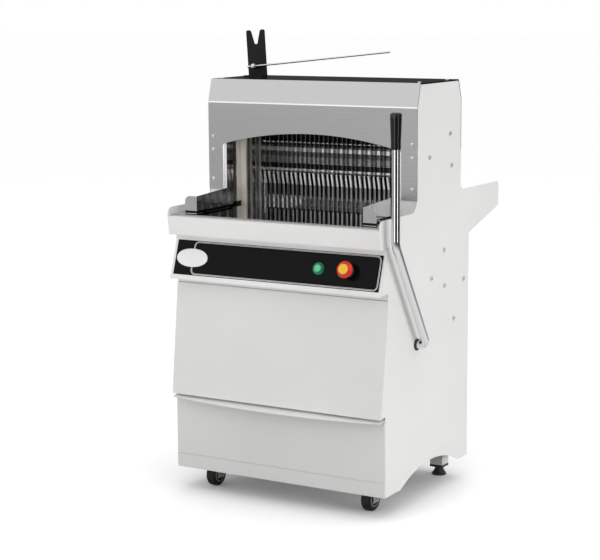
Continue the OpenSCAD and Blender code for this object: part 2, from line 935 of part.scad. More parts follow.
// Side panel with bolt holes, table ledge and front fold.
module side_panel(shaft_hole_d) {
  side_view(panel_x, sheet_t) difference() {
    panel_outline();
    for (p = concat(bright_places, dome_places))
      translate(p) circle(d = bolt_d + 2 * bolt_play);
    translate([lever_y, lever_z]) circle(d = shaft_hole_d);
  }
  box([mouth_half + cover_gap, steel_set, table_z + cover_gap],
    [panel_x, steel_set + sheet_t, mouth_top_z]);
  box([rail_x, -tray_back_ahead + fold_d, table_low_z - sheet_t],
    [panel_x, -cover_gap, table_low_z]);
}

module left_side_panel() {
  color(coat) mirror([1, 0, 0]) side_panel(bolt_d + 2 * bolt_play);
}

module right_side_panel() {
  color(coat) side_panel(bush_d + 2 * bolt_play);
}

// Bottom plate with folded edges and two square rear legs.
module base_frame() {
  front = -lower_ahead + sheet_t;
  back = lower_rear_y - sheet_t - cover_gap;
  color(coat) {
    box([-inside_x, front, base_z], [inside_x, back, base_z + base_t]);
    box([-inside_x, front, skirt_z + edge_set], [inside_x, front + sheet_t, base_z]);
    both_sides() difference() {
      box([leg_x - leg_w / 2, leg_y - leg_w / 2, leg_low_z],
        [leg_x + leg_w / 2, leg_y + leg_w / 2, base_z]);
      box([leg_x - leg_w / 2 + leg_t, leg_y - leg_w / 2 + leg_t, leg_low_z - over],
        [leg_x + leg_w / 2 - leg_t, leg_y + leg_w / 2 - leg_t, base_z - leg_t]);
    }
  }
}

module front_skirt() {
  color(coat) box([-half_w, -lower_ahead, skirt_z],
    [half_w, -lower_ahead + sheet_t, seam_z - cover_gap / 2]);
}

// Leaning sheet with a fold at its top and at its bottom.
module front_cover() {
  slant = sheet_t / cos(cover_deg);
  color(coat) {
    side_view(-half_w, body_w) polygon([
      [-cover_low_ahead, cover_low_z],
      [-cover_top_ahead, cover_top_z],
      [-cover_top_ahead + slant, cover_top_z],
      [-cover_low_ahead + slant, cover_low_z],
    ]);
    box([-inside_x, -cover_top_ahead + slant / 2, cover_top_z - sheet_t],
      [inside_x, -cover_top_ahead + fold_d, cover_top_z]);
    box([-inside_x, -cover_low_ahead + slant / 2, cover_low_z],
      [inside_x, -cover_low_ahead + fold_d, cover_low_z + sheet_t]);
  }
}

// Housing behind the black plate: lip, face, underside, top fold.
module fascia_housing() {
  in_y = cos(fascia_deg);
  in_z = -sin(fascia_deg);
  face = fascia_t;
  back = fascia_t + sheet_t;
  drop_y = -cover_top_ahead + edge_set;
  color(coat) difference() {
    union() {
      side_view(-half_w, body_w) polygon([
        [-fascia_lip_ahead, fascia_lip_z],
        [-fascia_low_ahead, fascia_low_z],
        [-fascia_low_ahead + in_y * face, fascia_low_z + in_z * face],
        [-fascia_top_ahead + in_y * face, fascia_top_z + in_z * face],
        [-fascia_top_ahead + in_y * face, tray_low_z - cover_gap],
        [-fascia_top_ahead + in_y * back, tray_low_z - cover_gap],
        [-fascia_top_ahead + in_y * back, fascia_top_z + in_z * back],
        [-fascia_lip_ahead + in_y * back, fascia_lip_z],
      ]);
      box([-inside_x, -fascia_lip_ahead + back / 2, fascia_lip_z],
        [inside_x, drop_y, fascia_lip_z + sheet_t]);
      box([-inside_x, drop_y - sheet_t, cover_top_z + cover_gap],
        [inside_x, drop_y, fascia_lip_z + sheet_t]);
    }
    for (x = [start_x, stop_x])
      on_fascia(x, button_up) translate([0, 0, -back - over])
        cylinder(h = back + 2 * over, d = barrel_d + 2 * bolt_play);
  }
}

module fascia_plate() {
  color(dark) difference() {
    on_fascia(0, 0) translate([-fascia_w / 2, 0, -fascia_t]) cube([fascia_w, fascia_len, fascia_t]);
    for (x = [start_x, stop_x])
      on_fascia(x, button_up) translate([0, 0, -fascia_t - over])
        cylinder(h = fascia_t + 2 * over, d = barrel_d + 2 * bolt_play);
  }
}

// Blank oval: two arcs of one radius meeting at rounded ends.
module badge_plate() {
  bow_r = (badge_w * badge_w / 4 + badge_h * badge_h / 4) / badge_h;
  end_r = badge_h / 4;
  end_x = badge_w / 2 - end_r;
  color(coat) on_fascia(-badge_x, fascia_len / 2) linear_extrude(height = badge_t) union() {
    intersection() {
      translate([0, badge_h / 2 - bow_r]) circle(r = bow_r);
      translate([0, bow_r - badge_h / 2]) circle(r = bow_r);
      square([2 * end_x, badge_h], center = true);
    }
    for (s = [-1, 1]) translate([s * end_x, 0]) circle(r = end_r);
  }
}

// Apron: leaning front with folded lip, bottom fold, and rounded side returns.
module front_tray() {
  lean = (tray_lip_ahead - tray_low_ahead) / (tray_lip_z - tray_low_z);
  color(coat) {
    side_view(-half_w, body_w) polygon([
      [-tray_low_ahead, tray_low_z],
      [-tray_lip_ahead, tray_lip_z],
      [-tray_lip_ahead + tray_fold, tray_lip_z],
      [-tray_lip_ahead + tray_fold, tray_lip_z - sheet_t],
      [-tray_lip_ahead + sheet_t + sheet_t * lean, tray_lip_z - sheet_t],
      [-tray_low_ahead + sheet_t - sheet_t * lean, tray_low_z + sheet_t],
      [-tray_back_ahead, tray_low_z + sheet_t],
      [-tray_back_ahead, tray_low_z],
    ]);
    both_sides() side_view(panel_x, sheet_t) {
      polygon([
        [-tray_low_ahead, tray_low_z],
        [-tray_lip_ahead, tray_lip_z],
        [-tray_lip_ahead, side_top_z - tray_r],
        [-tray_lip_ahead + tray_r, side_top_z - tray_r],
        [-tray_lip_ahead + tray_r, side_top_z],
        [-tray_back_ahead, side_top_z],
        [-tray_back_ahead, tray_low_z],
      ]);
      translate([-tray_lip_ahead + tray_r, side_top_z - tray_r]) circle(r = tray_r);
    }
  }
}

// Slots at the blades of one frame, cut from y0 to y1.
module blade_slots(count, y0, y1) {
  for (i = [0 : count - 1])
    translate([(i - (count - 1) / 2) * 2 * blade_pitch - slot_w / 2, y0, table_low_z - over])
      cube([slot_w, y1 - y0, table_t + 2 * over]);
}

// Front table with slots for the front blades and the wing screws.
module front_table() {
  rear = blade_mid_y - steel_gap;
  color(bright) difference() {
    union() {
      plan_view(table_low_z, table_t) polygon([
        [-inside_x, -table_front_ahead], [inside_x, -table_front_ahead],
        [inside_x, -cover_gap], [table_half_in, -cover_gap],
        [table_half_in, guide_front_y - cover_gap], [table_half_mid, guide_front_y - cover_gap],
        [table_half_mid, rear], [-table_half_mid, rear],
        [-table_half_mid, guide_front_y - cover_gap], [-table_half_in, guide_front_y - cover_gap],
        [-table_half_in, -cover_gap], [-inside_x, -cover_gap],
      ]);
      box([-inside_x, -table_front_ahead, tray_lip_z],
        [inside_x, -table_front_ahead + table_t, table_low_z]);
    }
    blade_slots(front_count, front_y - blade_w / 2 - slot_end, rear + over);
    both_sides() {
      slot_r = wing_d / 2 + bolt_play;
      for (x = [wing_x - fence_travel, wing_x])
        translate([x, -wing_ahead, table_low_z - over]) cylinder(h = table_t + 2 * over, r = slot_r);
      box([wing_x - fence_travel, -wing_ahead - slot_r, table_low_z - over],
        [wing_x, -wing_ahead + slot_r, table_z + over]);
    }
  }
}

module rear_table() {
  front = blade_mid_y + steel_gap;
  behind = guide_front_y + guide_d + cover_gap;
  color(bright) difference() {
    plan_view(table_low_z, table_t) polygon([
      [-table_half_mid, front], [table_half_mid, front],
      [table_half_mid, behind], [table_half_in, behind],
      [table_half_in, table_rear_y], [-table_half_in, table_rear_y],
      [-table_half_in, behind], [-table_half_mid, behind],
    ]);
    blade_slots(rear_count, front - over, rear_y + blade_w / 2 + slot_end);
  }
}

// Sloping sheet with end wall and ribs under the rear table.
module rear_tray_pan() {
  slant = sheet_t / cos(wing_deg);
  end_y = wing_tip_y - cover_gap;
  end_z = wing_root_z + (end_y - lower_rear_y) * tan(wing_deg);
  color(coat) {
    side_view(-inside_x, 2 * inside_x) polygon([
      [lower_rear_y, wing_root_z],
      [end_y, end_z],
      [end_y, table_z + rear_lip_h],
      [end_y - sheet_t, table_z + rear_lip_h],
      [end_y - sheet_t, end_z - sheet_t * tan(wing_deg) + slant],
      [lower_rear_y, wing_root_z + slant],
    ]);
    both_sides() side_view(half_w - rib_in, sheet_t) polygon([
      [lower_rear_y, wing_root_z + slant / 2],
      [table_rear_y, wing_root_z + slant / 2 + (table_rear_y - lower_rear_y) * tan(wing_deg)],
      [table_rear_y, table_low_z],
      [lower_rear_y, table_low_z],
    ]);
  }
}

// Rear sheet with two rows of louvres and the gland hole.
module rear_cover() {
  color(coat) front_view(lower_rear_y - sheet_t, sheet_t) difference() {
    translate([-inside_x, skirt_z]) square([2 * inside_x, wing_root_z - cover_gap - skirt_z]);
    for (i = [0 : louvre_count - 1])
      for (s = [-1, 1])
        translate([s * louvre_w * 2 / 3, deck_z + louvre_up + i * louvre_pitch])
          square([louvre_w, louvre_h], center = true);
    translate([-gland_x, gland_z]) circle(d = gland_d + 2 * bolt_play);
  }
}

// Cable gland: nut, thread, hexagon, dome and bore.
module cable_gland() {
  inner = lower_rear_y - sheet_t;
  color(dark) difference() {
    union() {
      bar_y(inner - nut_h, lower_rear_y + gland_hex_h, gland_d, -gland_x, gland_z);
      translate([-gland_x, inner, gland_z]) rotate([90, 0, 0])
        cylinder(h = nut_h, d = gland_hex_d, $fn = 6);
      translate([-gland_x, lower_rear_y + gland_hex_h, gland_z]) rotate([90, 0, 0])
        cylinder(h = gland_hex_h, d = gland_hex_d, $fn = 6);
      translate([-gland_x, lower_rear_y + gland_hex_h, gland_z]) rotate([-90, 0, 0])
        cylinder(h = gland_dome_h, d1 = gland_d, d2 = gland_d * 2 / 3);
    }
    bar_y(inner - nut_h - over, lower_rear_y + gland_hex_h + gland_dome_h + over,
      gland_hole_d, -gland_x, gland_z);
  }
}

// Hood's steel front: arched mouth, slanted strip above.
module hood_front() {
  color(steel) {
    front_view(0, sheet_t) difference() {
      translate([-half_w, hood_leg_z]) square([body_w, hood_bend_z - hood_leg_z]);
      intersection() {
        translate([-mouth_half, hood_leg_z - over]) square([2 * mouth_half, mouth_top_z]);
        translate([0, mouth_top_z - mouth_r]) circle(r = mouth_r);
      }
    }
    side_view(-half_w, body_w) polygon([
      [0, hood_bend_z], [hood_lean, hood_top_z],
      [hood_lean + sheet_t, hood_top_z], [sheet_t, hood_bend_z],
    ]);
    both_sides() box([mouth_half - sheet_t, 0, hood_leg_z],
      [mouth_half, mouth_fold, mouth_top_z - mouth_r + sqrt(pow(mouth_r, 2) - pow(mouth_half, 2))]);
  }
}

module hood_rear() {
  color(dark) side_view(-half_w, body_w) polygon([
    [hood_d, rear_low_z], [hood_d, rear_bend_z], [hood_d - hood_lean, hood_top_z],
    [hood_d - hood_lean - sheet_t, hood_top_z], [hood_d - sheet_t, rear_bend_z],
    [hood_d - sheet_t, rear_low_z],
  ]);
}

module top_lid() {
  color(dark) difference() {
    box([-half_w, hood_lean + steel_set, hood_top_z - lid_t],
      [half_w, hood_d - hood_lean - steel_set, hood_top_z]);
    for (s = [-1, 1])
      for (y = [lid_screw_front_y, hood_d - lid_screw_back])
        translate([s * (half_w - lid_screw_in), y, hood_top_z - lid_t - over])
          cylinder(h = lid_t + 2 * over, d = bolt_d / 2 + 2 * bolt_play);
  }
}

// Screw along Z with its head above Z = 0 and its shank below.
module screw(head_d, head_h, shank_d, shank_len) {
  intersection() {
    cylinder(h = head_h, d = head_d);
    translate([0, 0, head_h - head_d]) sphere(r = head_d);
  }
  translate([0, 0, -shank_len]) cylinder(h = shank_len, d = shank_d);
}

// Bolt along Z through a sheet, with its nut behind.
module bolt() {
  screw(bolt_head_d, bolt_head_h, bolt_d, sheet_t);
  translate([0, 0, -sheet_t - nut_h]) cylinder(h = nut_h, d = nut_d, $fn = 6);
}

// Bright screws of hood and lid, and bright side bolts.
module bright_screws() {
  color(bright) {
    for (s = [-1, 1]) {
      for (up = [screw_low_up, screw_mid_up, screw_high_up])
        translate([s * (half_w - screw_in), 0, hood_leg_z + up]) rotate([90, 0, 0])
          screw(screw_d, screw_h, screw_d, 0);
      for (y = [lid_screw_front_y, hood_d - lid_screw_back])
        translate([s * (half_w - lid_screw_in), y, hood_top_z]) screw(screw_d, screw_h, bolt_d / 2, lid_t);
    }
    both_sides() for (p = bright_places)
      translate([half_w, p[0], p[1]]) rotate([0, 90, 0]) bolt();
  }
}

module panel_bolts() {
  color(coat) both_sides() for (p = dome_places)
    translate([half_w, p[0], p[1]]) rotate([0, 90, 0]) bolt();
}

module chamber_walls() {
  color(bright) both_sides() box([chamber_x, chamber_front_y, table_z],
    [chamber_x + chamber_t, guide_front_y - cover_gap, hood_bend_z - chamber_down]);
}

// Nylon rails with grooves in which the blade frames slide.
module guide_rails() {
  groove = frame_t + 2 * guide_play;
  low_z = frame_low_z - sheet_t;
  color(nylon) both_sides() plan_view(low_z, guide_top_z - low_z) difference() {
    translate([guide_x, guide_front_y]) square([guide_w, guide_d]);
    for (y = [front_y, rear_y])
      translate([guide_x - over, y - groove / 2])
        square([upright_x + upright_w + guide_play - guide_x + over, groove]);
  }
}

// Channels behind the guide rails, and the tie across them.
module guide_columns() {
  in_x = guide_x + guide_w;
  rear = guide_front_y + guide_d;
  low_z = table_z + column_up;
  color(steel) both_sides() plan_view(low_z, guide_top_z - low_z) difference() {
    translate([in_x, guide_front_y]) square([panel_x - in_x, guide_d]);
    translate([in_x + sheet_t, guide_front_y + sheet_t])
      square([panel_x - in_x, rear - guide_front_y - 2 * sheet_t]);
  }
  color(steel) box([-inside_x, guide_front_y, guide_top_z], [inside_x, rear, guide_top_z + sheet_t]);
}

// Slide rails, their front beam and rear blocks.
module pusher_rails() {
  rear = rail_rear_y - beam_t;
  color(bright) both_sides() bar_y(-rail_ahead, rail_rear_y, rail_d, rail_x, rail_z);
  color(steel) difference() {
    union() {
      box([-inside_x, -rail_ahead, rail_z - bar_h / 2],
        [inside_x, -rail_ahead + beam_t, rail_z + bar_h / 2]);
      both_sides() box([rail_x - bar_w / 2, rear, rail_z - bar_h / 3],
        [inside_x, rail_rear_y, rail_z + bar_h / 2]);
    }
    both_sides() bar_y(-rail_ahead - over, rail_rear_y + over, rail_d + 2 * run_play, rail_x, rail_z);
  }
}

// Deck of the drive with the opening through which crumbs fall.
module drive_deck() {
  color(steel) difference() {
    box([-panel_x, deck_in - lower_ahead, deck_z - deck_t], [panel_x, lower_rear_y - edge_set, deck_z]);
    box([chute_in - half_w, blade_mid_y - chute_front, deck_z - deck_t - over],
      [half_w - chute_in, blade_mid_y + chute_rear, deck_z + over]);
  }
}

// Motor housing: foot, fan cowl, terminal box, shaft bore.
module motor_body() {
  color(iron) difference() {
    union() {
      bar_x(-motor_left, motor_right, motor_d, -motor_ahead, motor_z);
      bar_x(-motor_left - cowl_len, -motor_left, cowl_d, -motor_ahead, motor_z);
      box([(motor_right - motor_left - motor_foot_len) / 2, -motor_ahead - motor_foot_w / 2, deck_z],
        [(motor_right - motor_left + motor_foot_len) / 2, -motor_ahead + motor_foot_w / 2,
          motor_z - motor_d / 4]);
      box([(motor_right - motor_left - terminal_w) / 2, -motor_ahead - terminal_w / 2, motor_z],
        [(motor_right - motor_left + terminal_w) / 2, -motor_ahead + terminal_w / 2,
          motor_z + motor_d / 2 + terminal_h]);
    }
    bar_x(motor_right - motor_bore, motor_right + over, motor_shaft_d + 2 * run_play,
      -motor_ahead, motor_z);
  }
}

module crank_bearings() {
  head = stand_head_d / 2;
  color(iron) both_sides() side_view(stand_x - stand_t / 2, stand_t) difference() {
    union() {
      polygon([
        [blade_mid_y - stand_foot_w / 2, deck_z], [blade_mid_y + stand_foot_w / 2, deck_z],
        [blade_mid_y + head, crank_z], [blade_mid_y - head, crank_z],
      ]);
      translate([blade_mid_y, crank_z]) circle(d = stand_head_d);
    }
    translate([blade_mid_y, crank_z]) circle(d = crank_d + 2 * run_play);
  }
}

// Outline round both pulleys, outside their rims.
module belt_loop(out) {
  hull() {
    circle(d = drive_d + 2 * out);
    translate([belt_span, 0]) circle(d = pulley_d + 2 * out);
  }
}

module v_belt() {
  low = belt_gap - groove_d;
  color(dark) translate([belt_x - belt_w / 2, -motor_ahead, motor_z]) rotate([90, 0, 90])
    rotate([0, 0, belt_deg]) linear_extrude(height = belt_w) difference() {
      belt_loop(low + belt_t);
      belt_loop(low);
    }
}

// Grooved pulley on the X axis.
module pulley(d, bore_d) {
  half_groove = belt_w / 2 + belt_gap;
  rotate([0, 90, 0]) rotate_extrude() polygon([
    [bore_d / 2, -pulley_w / 2], [d / 2, -pulley_w / 2], [d / 2, -half_groove],
    [d / 2 - groove_d, -half_groove], [d / 2 - groove_d, half_groove], [d / 2, half_groove],
    [d / 2, pulley_w / 2], [bore_d / 2, pulley_w / 2],
  ]);
}

// Barrel behind the fascia with its bore, and the contact block.
module button_barrel() {
  difference() {
    translate([0, 0, -barrel_len]) cylinder(h = barrel_len, d = barrel_d);
    translate([0, 0, -barrel_len - over]) cylinder(h = barrel_len + 2 * over, d = plunger_d + 2 * run_play);
  }
  translate([-contact_w / 2, -contact_w / 2, -barrel_len - contact_d])
    cube([contact_w, contact_w, contact_d]);
}

module start_body() {
  color(steel) on_fascia(start_x, button_up) {
    button_barrel();
    difference() {
      cylinder(h = ring_h, d = ring_d);
      translate([0, 0, -over]) cylinder(h = ring_h + 2 * over, d = plunger_d + 2 * run_play);
      translate([0, 0, ring_h - cap_stroke - cover_gap / 2])
        cylinder(h = ring_h, d = cap_d + 2 * bolt_play);
    }
  }
}

module start_cap() {
  color([0.1, 0.5, 0.2]) on_fascia(start_x, button_up) {
    translate([0, 0, ring_h]) cylinder(h = cap_out, d = cap_d);
    translate([0, 0, -plunger_len]) cylinder(h = plunger_len + ring_h, d = plunger_d);
  }
}

module stop_body() {
  color([0.85, 0.7, 0.1]) on_fascia(stop_x, button_up) {
    button_barrel();
    difference() {
      cylinder(h = collar_h, d = ring_d);
      translate([0, 0, -over]) cylinder(h = collar_h + 2 * over, d = plunger_d + 2 * run_play);
    }
  }
}

// Mushroom head: dome over a rim, and the plunger.
module stop_head() {
  dome_r = (stop_d * stop_d / 4 + stop_dome * stop_dome) / (2 * stop_dome);
  rim_z = collar_h + stop_space;
  color([0.75, 0.1, 0.08]) on_fascia(stop_x, button_up) {
    translate([0, 0, rim_z]) cylinder(h = stop_rim, d = stop_d);
    translate([0, 0, rim_z + stop_rim]) intersection() {
      cylinder(h = stop_dome, d = stop_d);
      translate([0, 0, stop_dome - dome_r]) sphere(r = dome_r);
    }
    translate([0, 0, -plunger_len]) cylinder(h = plunger_len + rim_z, d = plunger_d);
  }
}

module control_box() {
  color(iron) box([-control_x - control_w, control_back - lower_ahead, deck_z],
    [-control_x, control_back - lower_ahead + control_d, deck_z + control_h]);
}

// Bushes: ringed through the right panel, plain inside the left.
module lever_bushes() {
  bore = lever_d + 2 * run_play;
  color(dark) {
    difference() {
      union() {
        bar_x(half_w, half_w + bush_ring_t, bush_ring_d, lever_y, lever_z);
        bar_x(panel_x, half_w, bush_d, lever_y, lever_z);
        bar_x(panel_x - bush_in, panel_x, bush_ring_d, lever_y, lever_z);
      }
      bar_x(panel_x - bush_in - over, half_w + bush_ring_t + over, bore, lever_y, lever_z);
    }
    difference() {
      bar_x(-panel_x, -panel_x + bush_in, bush_ring_d, lever_y, lever_z);
      bar_x(-panel_x - over, -panel_x + bush_in + over, bore, lever_y, lever_z);
    }
  }
}

module drawer_runners() {
  top = drawer_top_z - drawer_t - steel_gap;
  color(steel) both_sides() {
    box([drawer_half + cover_gap, -lower_ahead + fold_d, top - sheet_t], [panel_x, drawer_rear_y, top]);
    box([panel_x - sheet_t, -lower_ahead + fold_d, top - fold_d], [panel_x, drawer_rear_y, top]);
  }
}

// Fixed castor forks with their axles.
module castor_forks() {
  leg = wheel_w / 2 + fork_gap;
  color(steel) both_sides() translate([wheel_x, wheel_back - lower_ahead, 0]) {
    box([-fork_plate / 2, -fork_plate / 2, base_z - fork_t], [fork_plate / 2, fork_plate / 2, base_z]);
    for (s = [0, 1]) mirror([s, 0, 0])
      box([leg, -fork_w / 2, wheel_d / 2 - axle_d], [leg + fork_t, fork_w / 2, base_z - fork_t]);
    bar_x(-leg - fork_t - axle_d / 4, leg + fork_t + axle_d / 4, axle_d, 0, wheel_d / 2);
  }
}

// Castor wheel: tread with a recessed hub on each side and a bore.
module wheel() {
  half = wheel_w / 2;
  bore = axle_d / 2 + run_play;
  color(dark) translate([0, wheel_back - lower_ahead, wheel_d / 2]) rotate([0, 90, 0]) rotate_extrude()
    polygon([
    [bore, -half], [boss_d / 2, -half], [boss_d / 2, -half + hub_recess],
    [hub_d / 2, -half + hub_recess], [hub_d / 2, -half], [wheel_d / 2 - hub_recess, -half],
    [wheel_d / 2, -half + hub_recess], [wheel_d / 2, half - hub_recess],
    [wheel_d / 2 - hub_recess, half], [hub_d / 2, half], [hub_d / 2, half - hub_recess],
    [boss_d / 2, half - hub_recess], [boss_d / 2, half], [bore, half],
  ]);
}

module wheel_left() {
  translate([-wheel_x, 0, 0]) wheel();
}

module wheel_right() {
  translate([wheel_x, 0, 0]) wheel();
}

// Plugs in the leg tubes, bored for the feet's studs.
module leg_plugs() {
  inner = leg_w - 2 * leg_t;
  color(dark) both_sides() translate([leg_x, leg_y, 0]) difference() {
    union() {
      box([-leg_w / 2, -leg_w / 2, leg_low_z - plug_t], [leg_w / 2, leg_w / 2, leg_low_z]);
      box([-inner / 2, -inner / 2, leg_low_z], [inner / 2, inner / 2, leg_low_z + plug_in]);
    }
    cylinder(h = leg_low_z + stud_in, d = stud_d + 2 * run_play);
  }
}

// Levelling foot: pad, cone and stud.
module foot() {
  color(dark) translate([0, leg_y, 0]) {
    cylinder(h = foot_rim, d = foot_d);
    translate([0, 0, foot_rim]) cylinder(h = foot_cone_z - foot_rim, d1 = foot_d, d2 = foot_neck_d);
    translate([0, 0, foot_cone_z]) cylinder(h = leg_low_z + stud_in - foot_cone_z, d = stud_d);
  }
}

module foot_left() {
  translate([-leg_x, 0, 0]) foot();
}

module foot_right() {
  translate([leg_x, 0, 0]) foot();
}

// Forked plate that leans left, with its foot and the rod's pivot pin.
module bag_post() {
  hub_low = bag_y - bag_hub_len / 2;
  color(dark) {
    front_view(post_y - post_t, post_t) translate([-post_x, hood_top_z]) intersection() {
      translate([-post_w, 0]) square([2 * post_w, 2 * post_h]);
      rotate(post_deg) difference() {
        translate([-post_w / 2, -post_t]) square([post_w, post_h + post_t]);
        translate([0, post_h - post_notch_d + post_notch_r]) {
          circle(r = post_notch_r);
          polygon([
            [-post_notch_r, 0], [post_notch_r, 0],
            [post_notch_w / 2, post_notch_d], [-post_notch_w / 2, post_notch_d],
          ]);
        }
      }
    }
    box([-post_x - post_w / 2, post_y - post_foot, hood_top_z],
      [-post_x + post_w / 2, post_y, hood_top_z + post_t]);
    bar_y(hub_low - bag_pin_d, post_y - post_t, bag_pin_d, -bag_pivot_x, bag_pivot_z);
    bar_y(hub_low - bag_pin_d, hub_low - steel_gap, bag_hub_d, -bag_pivot_x, bag_pivot_z);
  }
}

// Thin rod with its hub on the post's pin.
module bag_rod() {
  color(bright) translate([-bag_pivot_x, bag_y, bag_pivot_z]) rotate([0, -bag_deg, 0]) difference() {
    union() {
      rotate([0, 90, 0]) translate([0, 0, -bag_short]) cylinder(h = bag_long + bag_short, d = bag_rod_d);
      rotate([-90, 0, 0]) translate([0, 0, -bag_hub_len / 2]) cylinder(h = bag_hub_len, d = bag_hub_d);
    }
    rotate([-90, 0, 0]) translate([0, 0, -bag_hub_len])
      cylinder(h = 2 * bag_hub_len, d = bag_pin_d + 2 * run_play);
  }
}

// Bent lever tube: stub and bend at the shaft, leaning arm, elbow, upright end.
module lever_tube() {
  stub = lever_out - bush_ring_t - cover_gap;
  bend_d = lever_d + 2 * bend_swell;
  color(bright) translate([lever_x, lever_y, lever_z]) rotate([lever_deg, 0, 0]) {
    translate([-stub, 0, 0]) rotate([0, 90, 0]) cylinder(h = stub - bend_r + over, d = lever_d);
    translate([-bend_r, 0, bend_r]) rotate([90, 0, 0]) rotate([0, 0, -90])
      rotate_extrude(angle = 90) translate([bend_r, 0]) circle(d = bend_d);
    translate([0, 0, bend_r - over]) cylinder(h = lever_len - elbow_trim - bend_r + 2 * over, d = lever_d);
    translate([0, elbow_r, lever_len - elbow_trim]) {
      rotate([90, 0, 90]) rotate([0, 0, 180 - lever_deg]) rotate_extrude(angle = lever_deg)
        translate([elbow_r, 0]) circle(d = bend_d);
      rotate([-lever_deg, 0, 0]) translate([0, -elbow_r, -over])
        cylinder(h = grip_top_z - grip_crown - elbow_z - elbow_trim + over, d = lever_d);
    }
  }
}

// Tapered grip with a crowned top over the tube's end.
module lever_grip() {
  low = grip_top_z - grip_len;
  body = grip_top_z - grip_crown - (grip_top_z - grip_len);
  crown_r = (grip_top_d * grip_top_d / 4 + grip_crown * grip_crown) / (2 * grip_crown);
  color(dark) translate([lever_x, -elbow_ahead, low]) difference() {
    union() {
      cylinder(h = body, d1 = grip_low_d, d2 = grip_top_d);
      translate([0, 0, body]) intersection() {
        cylinder(h = grip_crown, d = grip_top_d);
        translate([0, 0, grip_crown - crown_r]) sphere(r = crown_r);
      }
    }
    translate([0, 0, -over]) cylinder(h = body + over, d = lever_d + 2 * grip_play);
  }
}

// Cross shaft with the two slotted arms that drive the pusher.
module lever_shaft() {
  slot = roller_d + 2 * arm_play;
  color(steel) {
    bar_x(-panel_x + cover_gap, half_w + bush_ring_t + cover_gap, lever_d, lever_y, lever_z);
    both_sides() translate([0, lever_y, lever_z]) rotate([arm_deg, 0, 0]) side_view(arm_x, arm_t)
      difference() {
        union() {
          circle(d = arm_w);
          translate([-arm_w / 2, 0]) square([arm_w, arm_len]);
        }
        translate([-slot / 2, arm_slot]) square([slot, arm_len - arm_wall - arm_slot]);
      }
  }
}

// Bars on the slide rails, with drive rollers in front and uprights behind.
module pusher_carriage() {
  in_x = rail_x - bar_w / 2;
  out_x = arm_x + arm_t + 3 * cover_gap;
  front = -roller_ahead - bar_over;
  rear = stem_y + stem_d;
  color(steel) both_sides() {
    difference() {
      box([in_x, front, rail_z - bar_h / 2], [in_x + bar_w, rear, rail_z + bar_h / 2]);
      bar_y(front - over, rear + over, rail_d + 2 * run_play, rail_x, rail_z);
    }
    box([in_x, stem_y, rail_z + bar_h / 2], [in_x + plate_t, stem_y + stem_d, push_top_z]);
    box([out_x, -roller_ahead - roller_d, roller_z - roller_d],
      [out_x + plate_t, -roller_ahead + roller_d, rail_z - bar_h / 2]);
    bar_x(arm_x - cover_gap, out_x, roller_d, -roller_ahead, roller_z);
  }
}

// Plate across the carriage with a fold at its top and a bar along its front.
module pusher_plate() {
  side = rail_x - bar_w / 2;
  color(bright) {
    box([-side, push_y, push_low_z], [side, push_y + push_t, push_top_z]);
    box([-side, push_y, push_top_z - push_t], [side, push_y + push_fold, push_top_z]);
    box([-chamber_x, push_y - push_bar_d, push_top_z - push_bar_h], [chamber_x, push_y, push_top_z]);
  }
}

// Comb: bar with bent fingers between the blades.
module pusher_comb() {
  fingers = blade_count - 1;
  reach = finger_top_y - finger_low_y;
  half = blade_count * blade_pitch / 2;
  bar_front = push_y - comb_bar_d;
  color(bright) {
    box([-half, bar_front, finger_top_z - finger_t],
      [half, push_y, finger_top_z - finger_t + comb_bar_h]);
    for (i = [0 : fingers - 1])
      side_view((i - (fingers - 1) / 2) * blade_pitch - finger_w / 2, finger_w) polygon([
        [bar_front, finger_top_z], [finger_top_y, finger_top_z],
        [finger_low_y, finger_bend_z], [finger_low_y, table_z + finger_up],
        [finger_low_y + finger_t, table_z + finger_up], [finger_low_y + finger_t, finger_bend_z],
        [finger_top_y + finger_t - reach * finger_t / (finger_top_z - finger_bend_z),
          finger_top_z - finger_t],
        [bar_front, finger_top_z - finger_t],
      ]);
  }
}

// Blade frame: bars, uprights, and hangers with wrist pins.
module blade_frame(y, rod_x) {
  outer = upright_x + upright_w;
  half = frame_t / 2;
  hanger_x = rod_x + rod_t / 2 + hanger_gap;
  color(steel) {
    for (z = [frame_low_z, frame_top_z - frame_h])
      box([-outer, y - half, z], [outer, y + half, z + frame_h]);
    both_sides() {
      box([upright_x, y - half, frame_low_z + frame_h], [outer, y + half, frame_top_z - frame_h]);
      box([hanger_x, y - hanger_w / 2, wrist_z - hanger_w / 2],
        [hanger_x + hanger_t, y + hanger_w / 2, frame_low_z]);
      bar_x(hanger_x - hanger_gap / 2, hanger_x, wrist_d, y, wrist_z);
    }
  }
}

// Toothed blades; teeth face the loaf, to the rear.
module blade_row(count, y) {
  pitch = blade_len / tooth_count;
  edge = [for (i = [0 : 2 * tooth_count])
    [y + blade_w / 2 - (i % 2) * tooth_d, blade_low_z + i * pitch / 2]];
  color(bright) for (i = [0 : count - 1])
    side_view((i - (count - 1) / 2) * 2 * blade_pitch - blade_t / 2, blade_t)
      polygon(concat([[y - blade_w / 2, blade_low_z + blade_len], [y - blade_w / 2, blade_low_z]], edge));
}

module front_frame() {
  blade_frame(front_y, front_rod_x);
}

module front_blades() {
  blade_row(front_count, front_y);
}

module rear_frame() {
  blade_frame(rear_y, rear_rod_x);
}

module rear_blades() {
  blade_row(rear_count, rear_y);
}

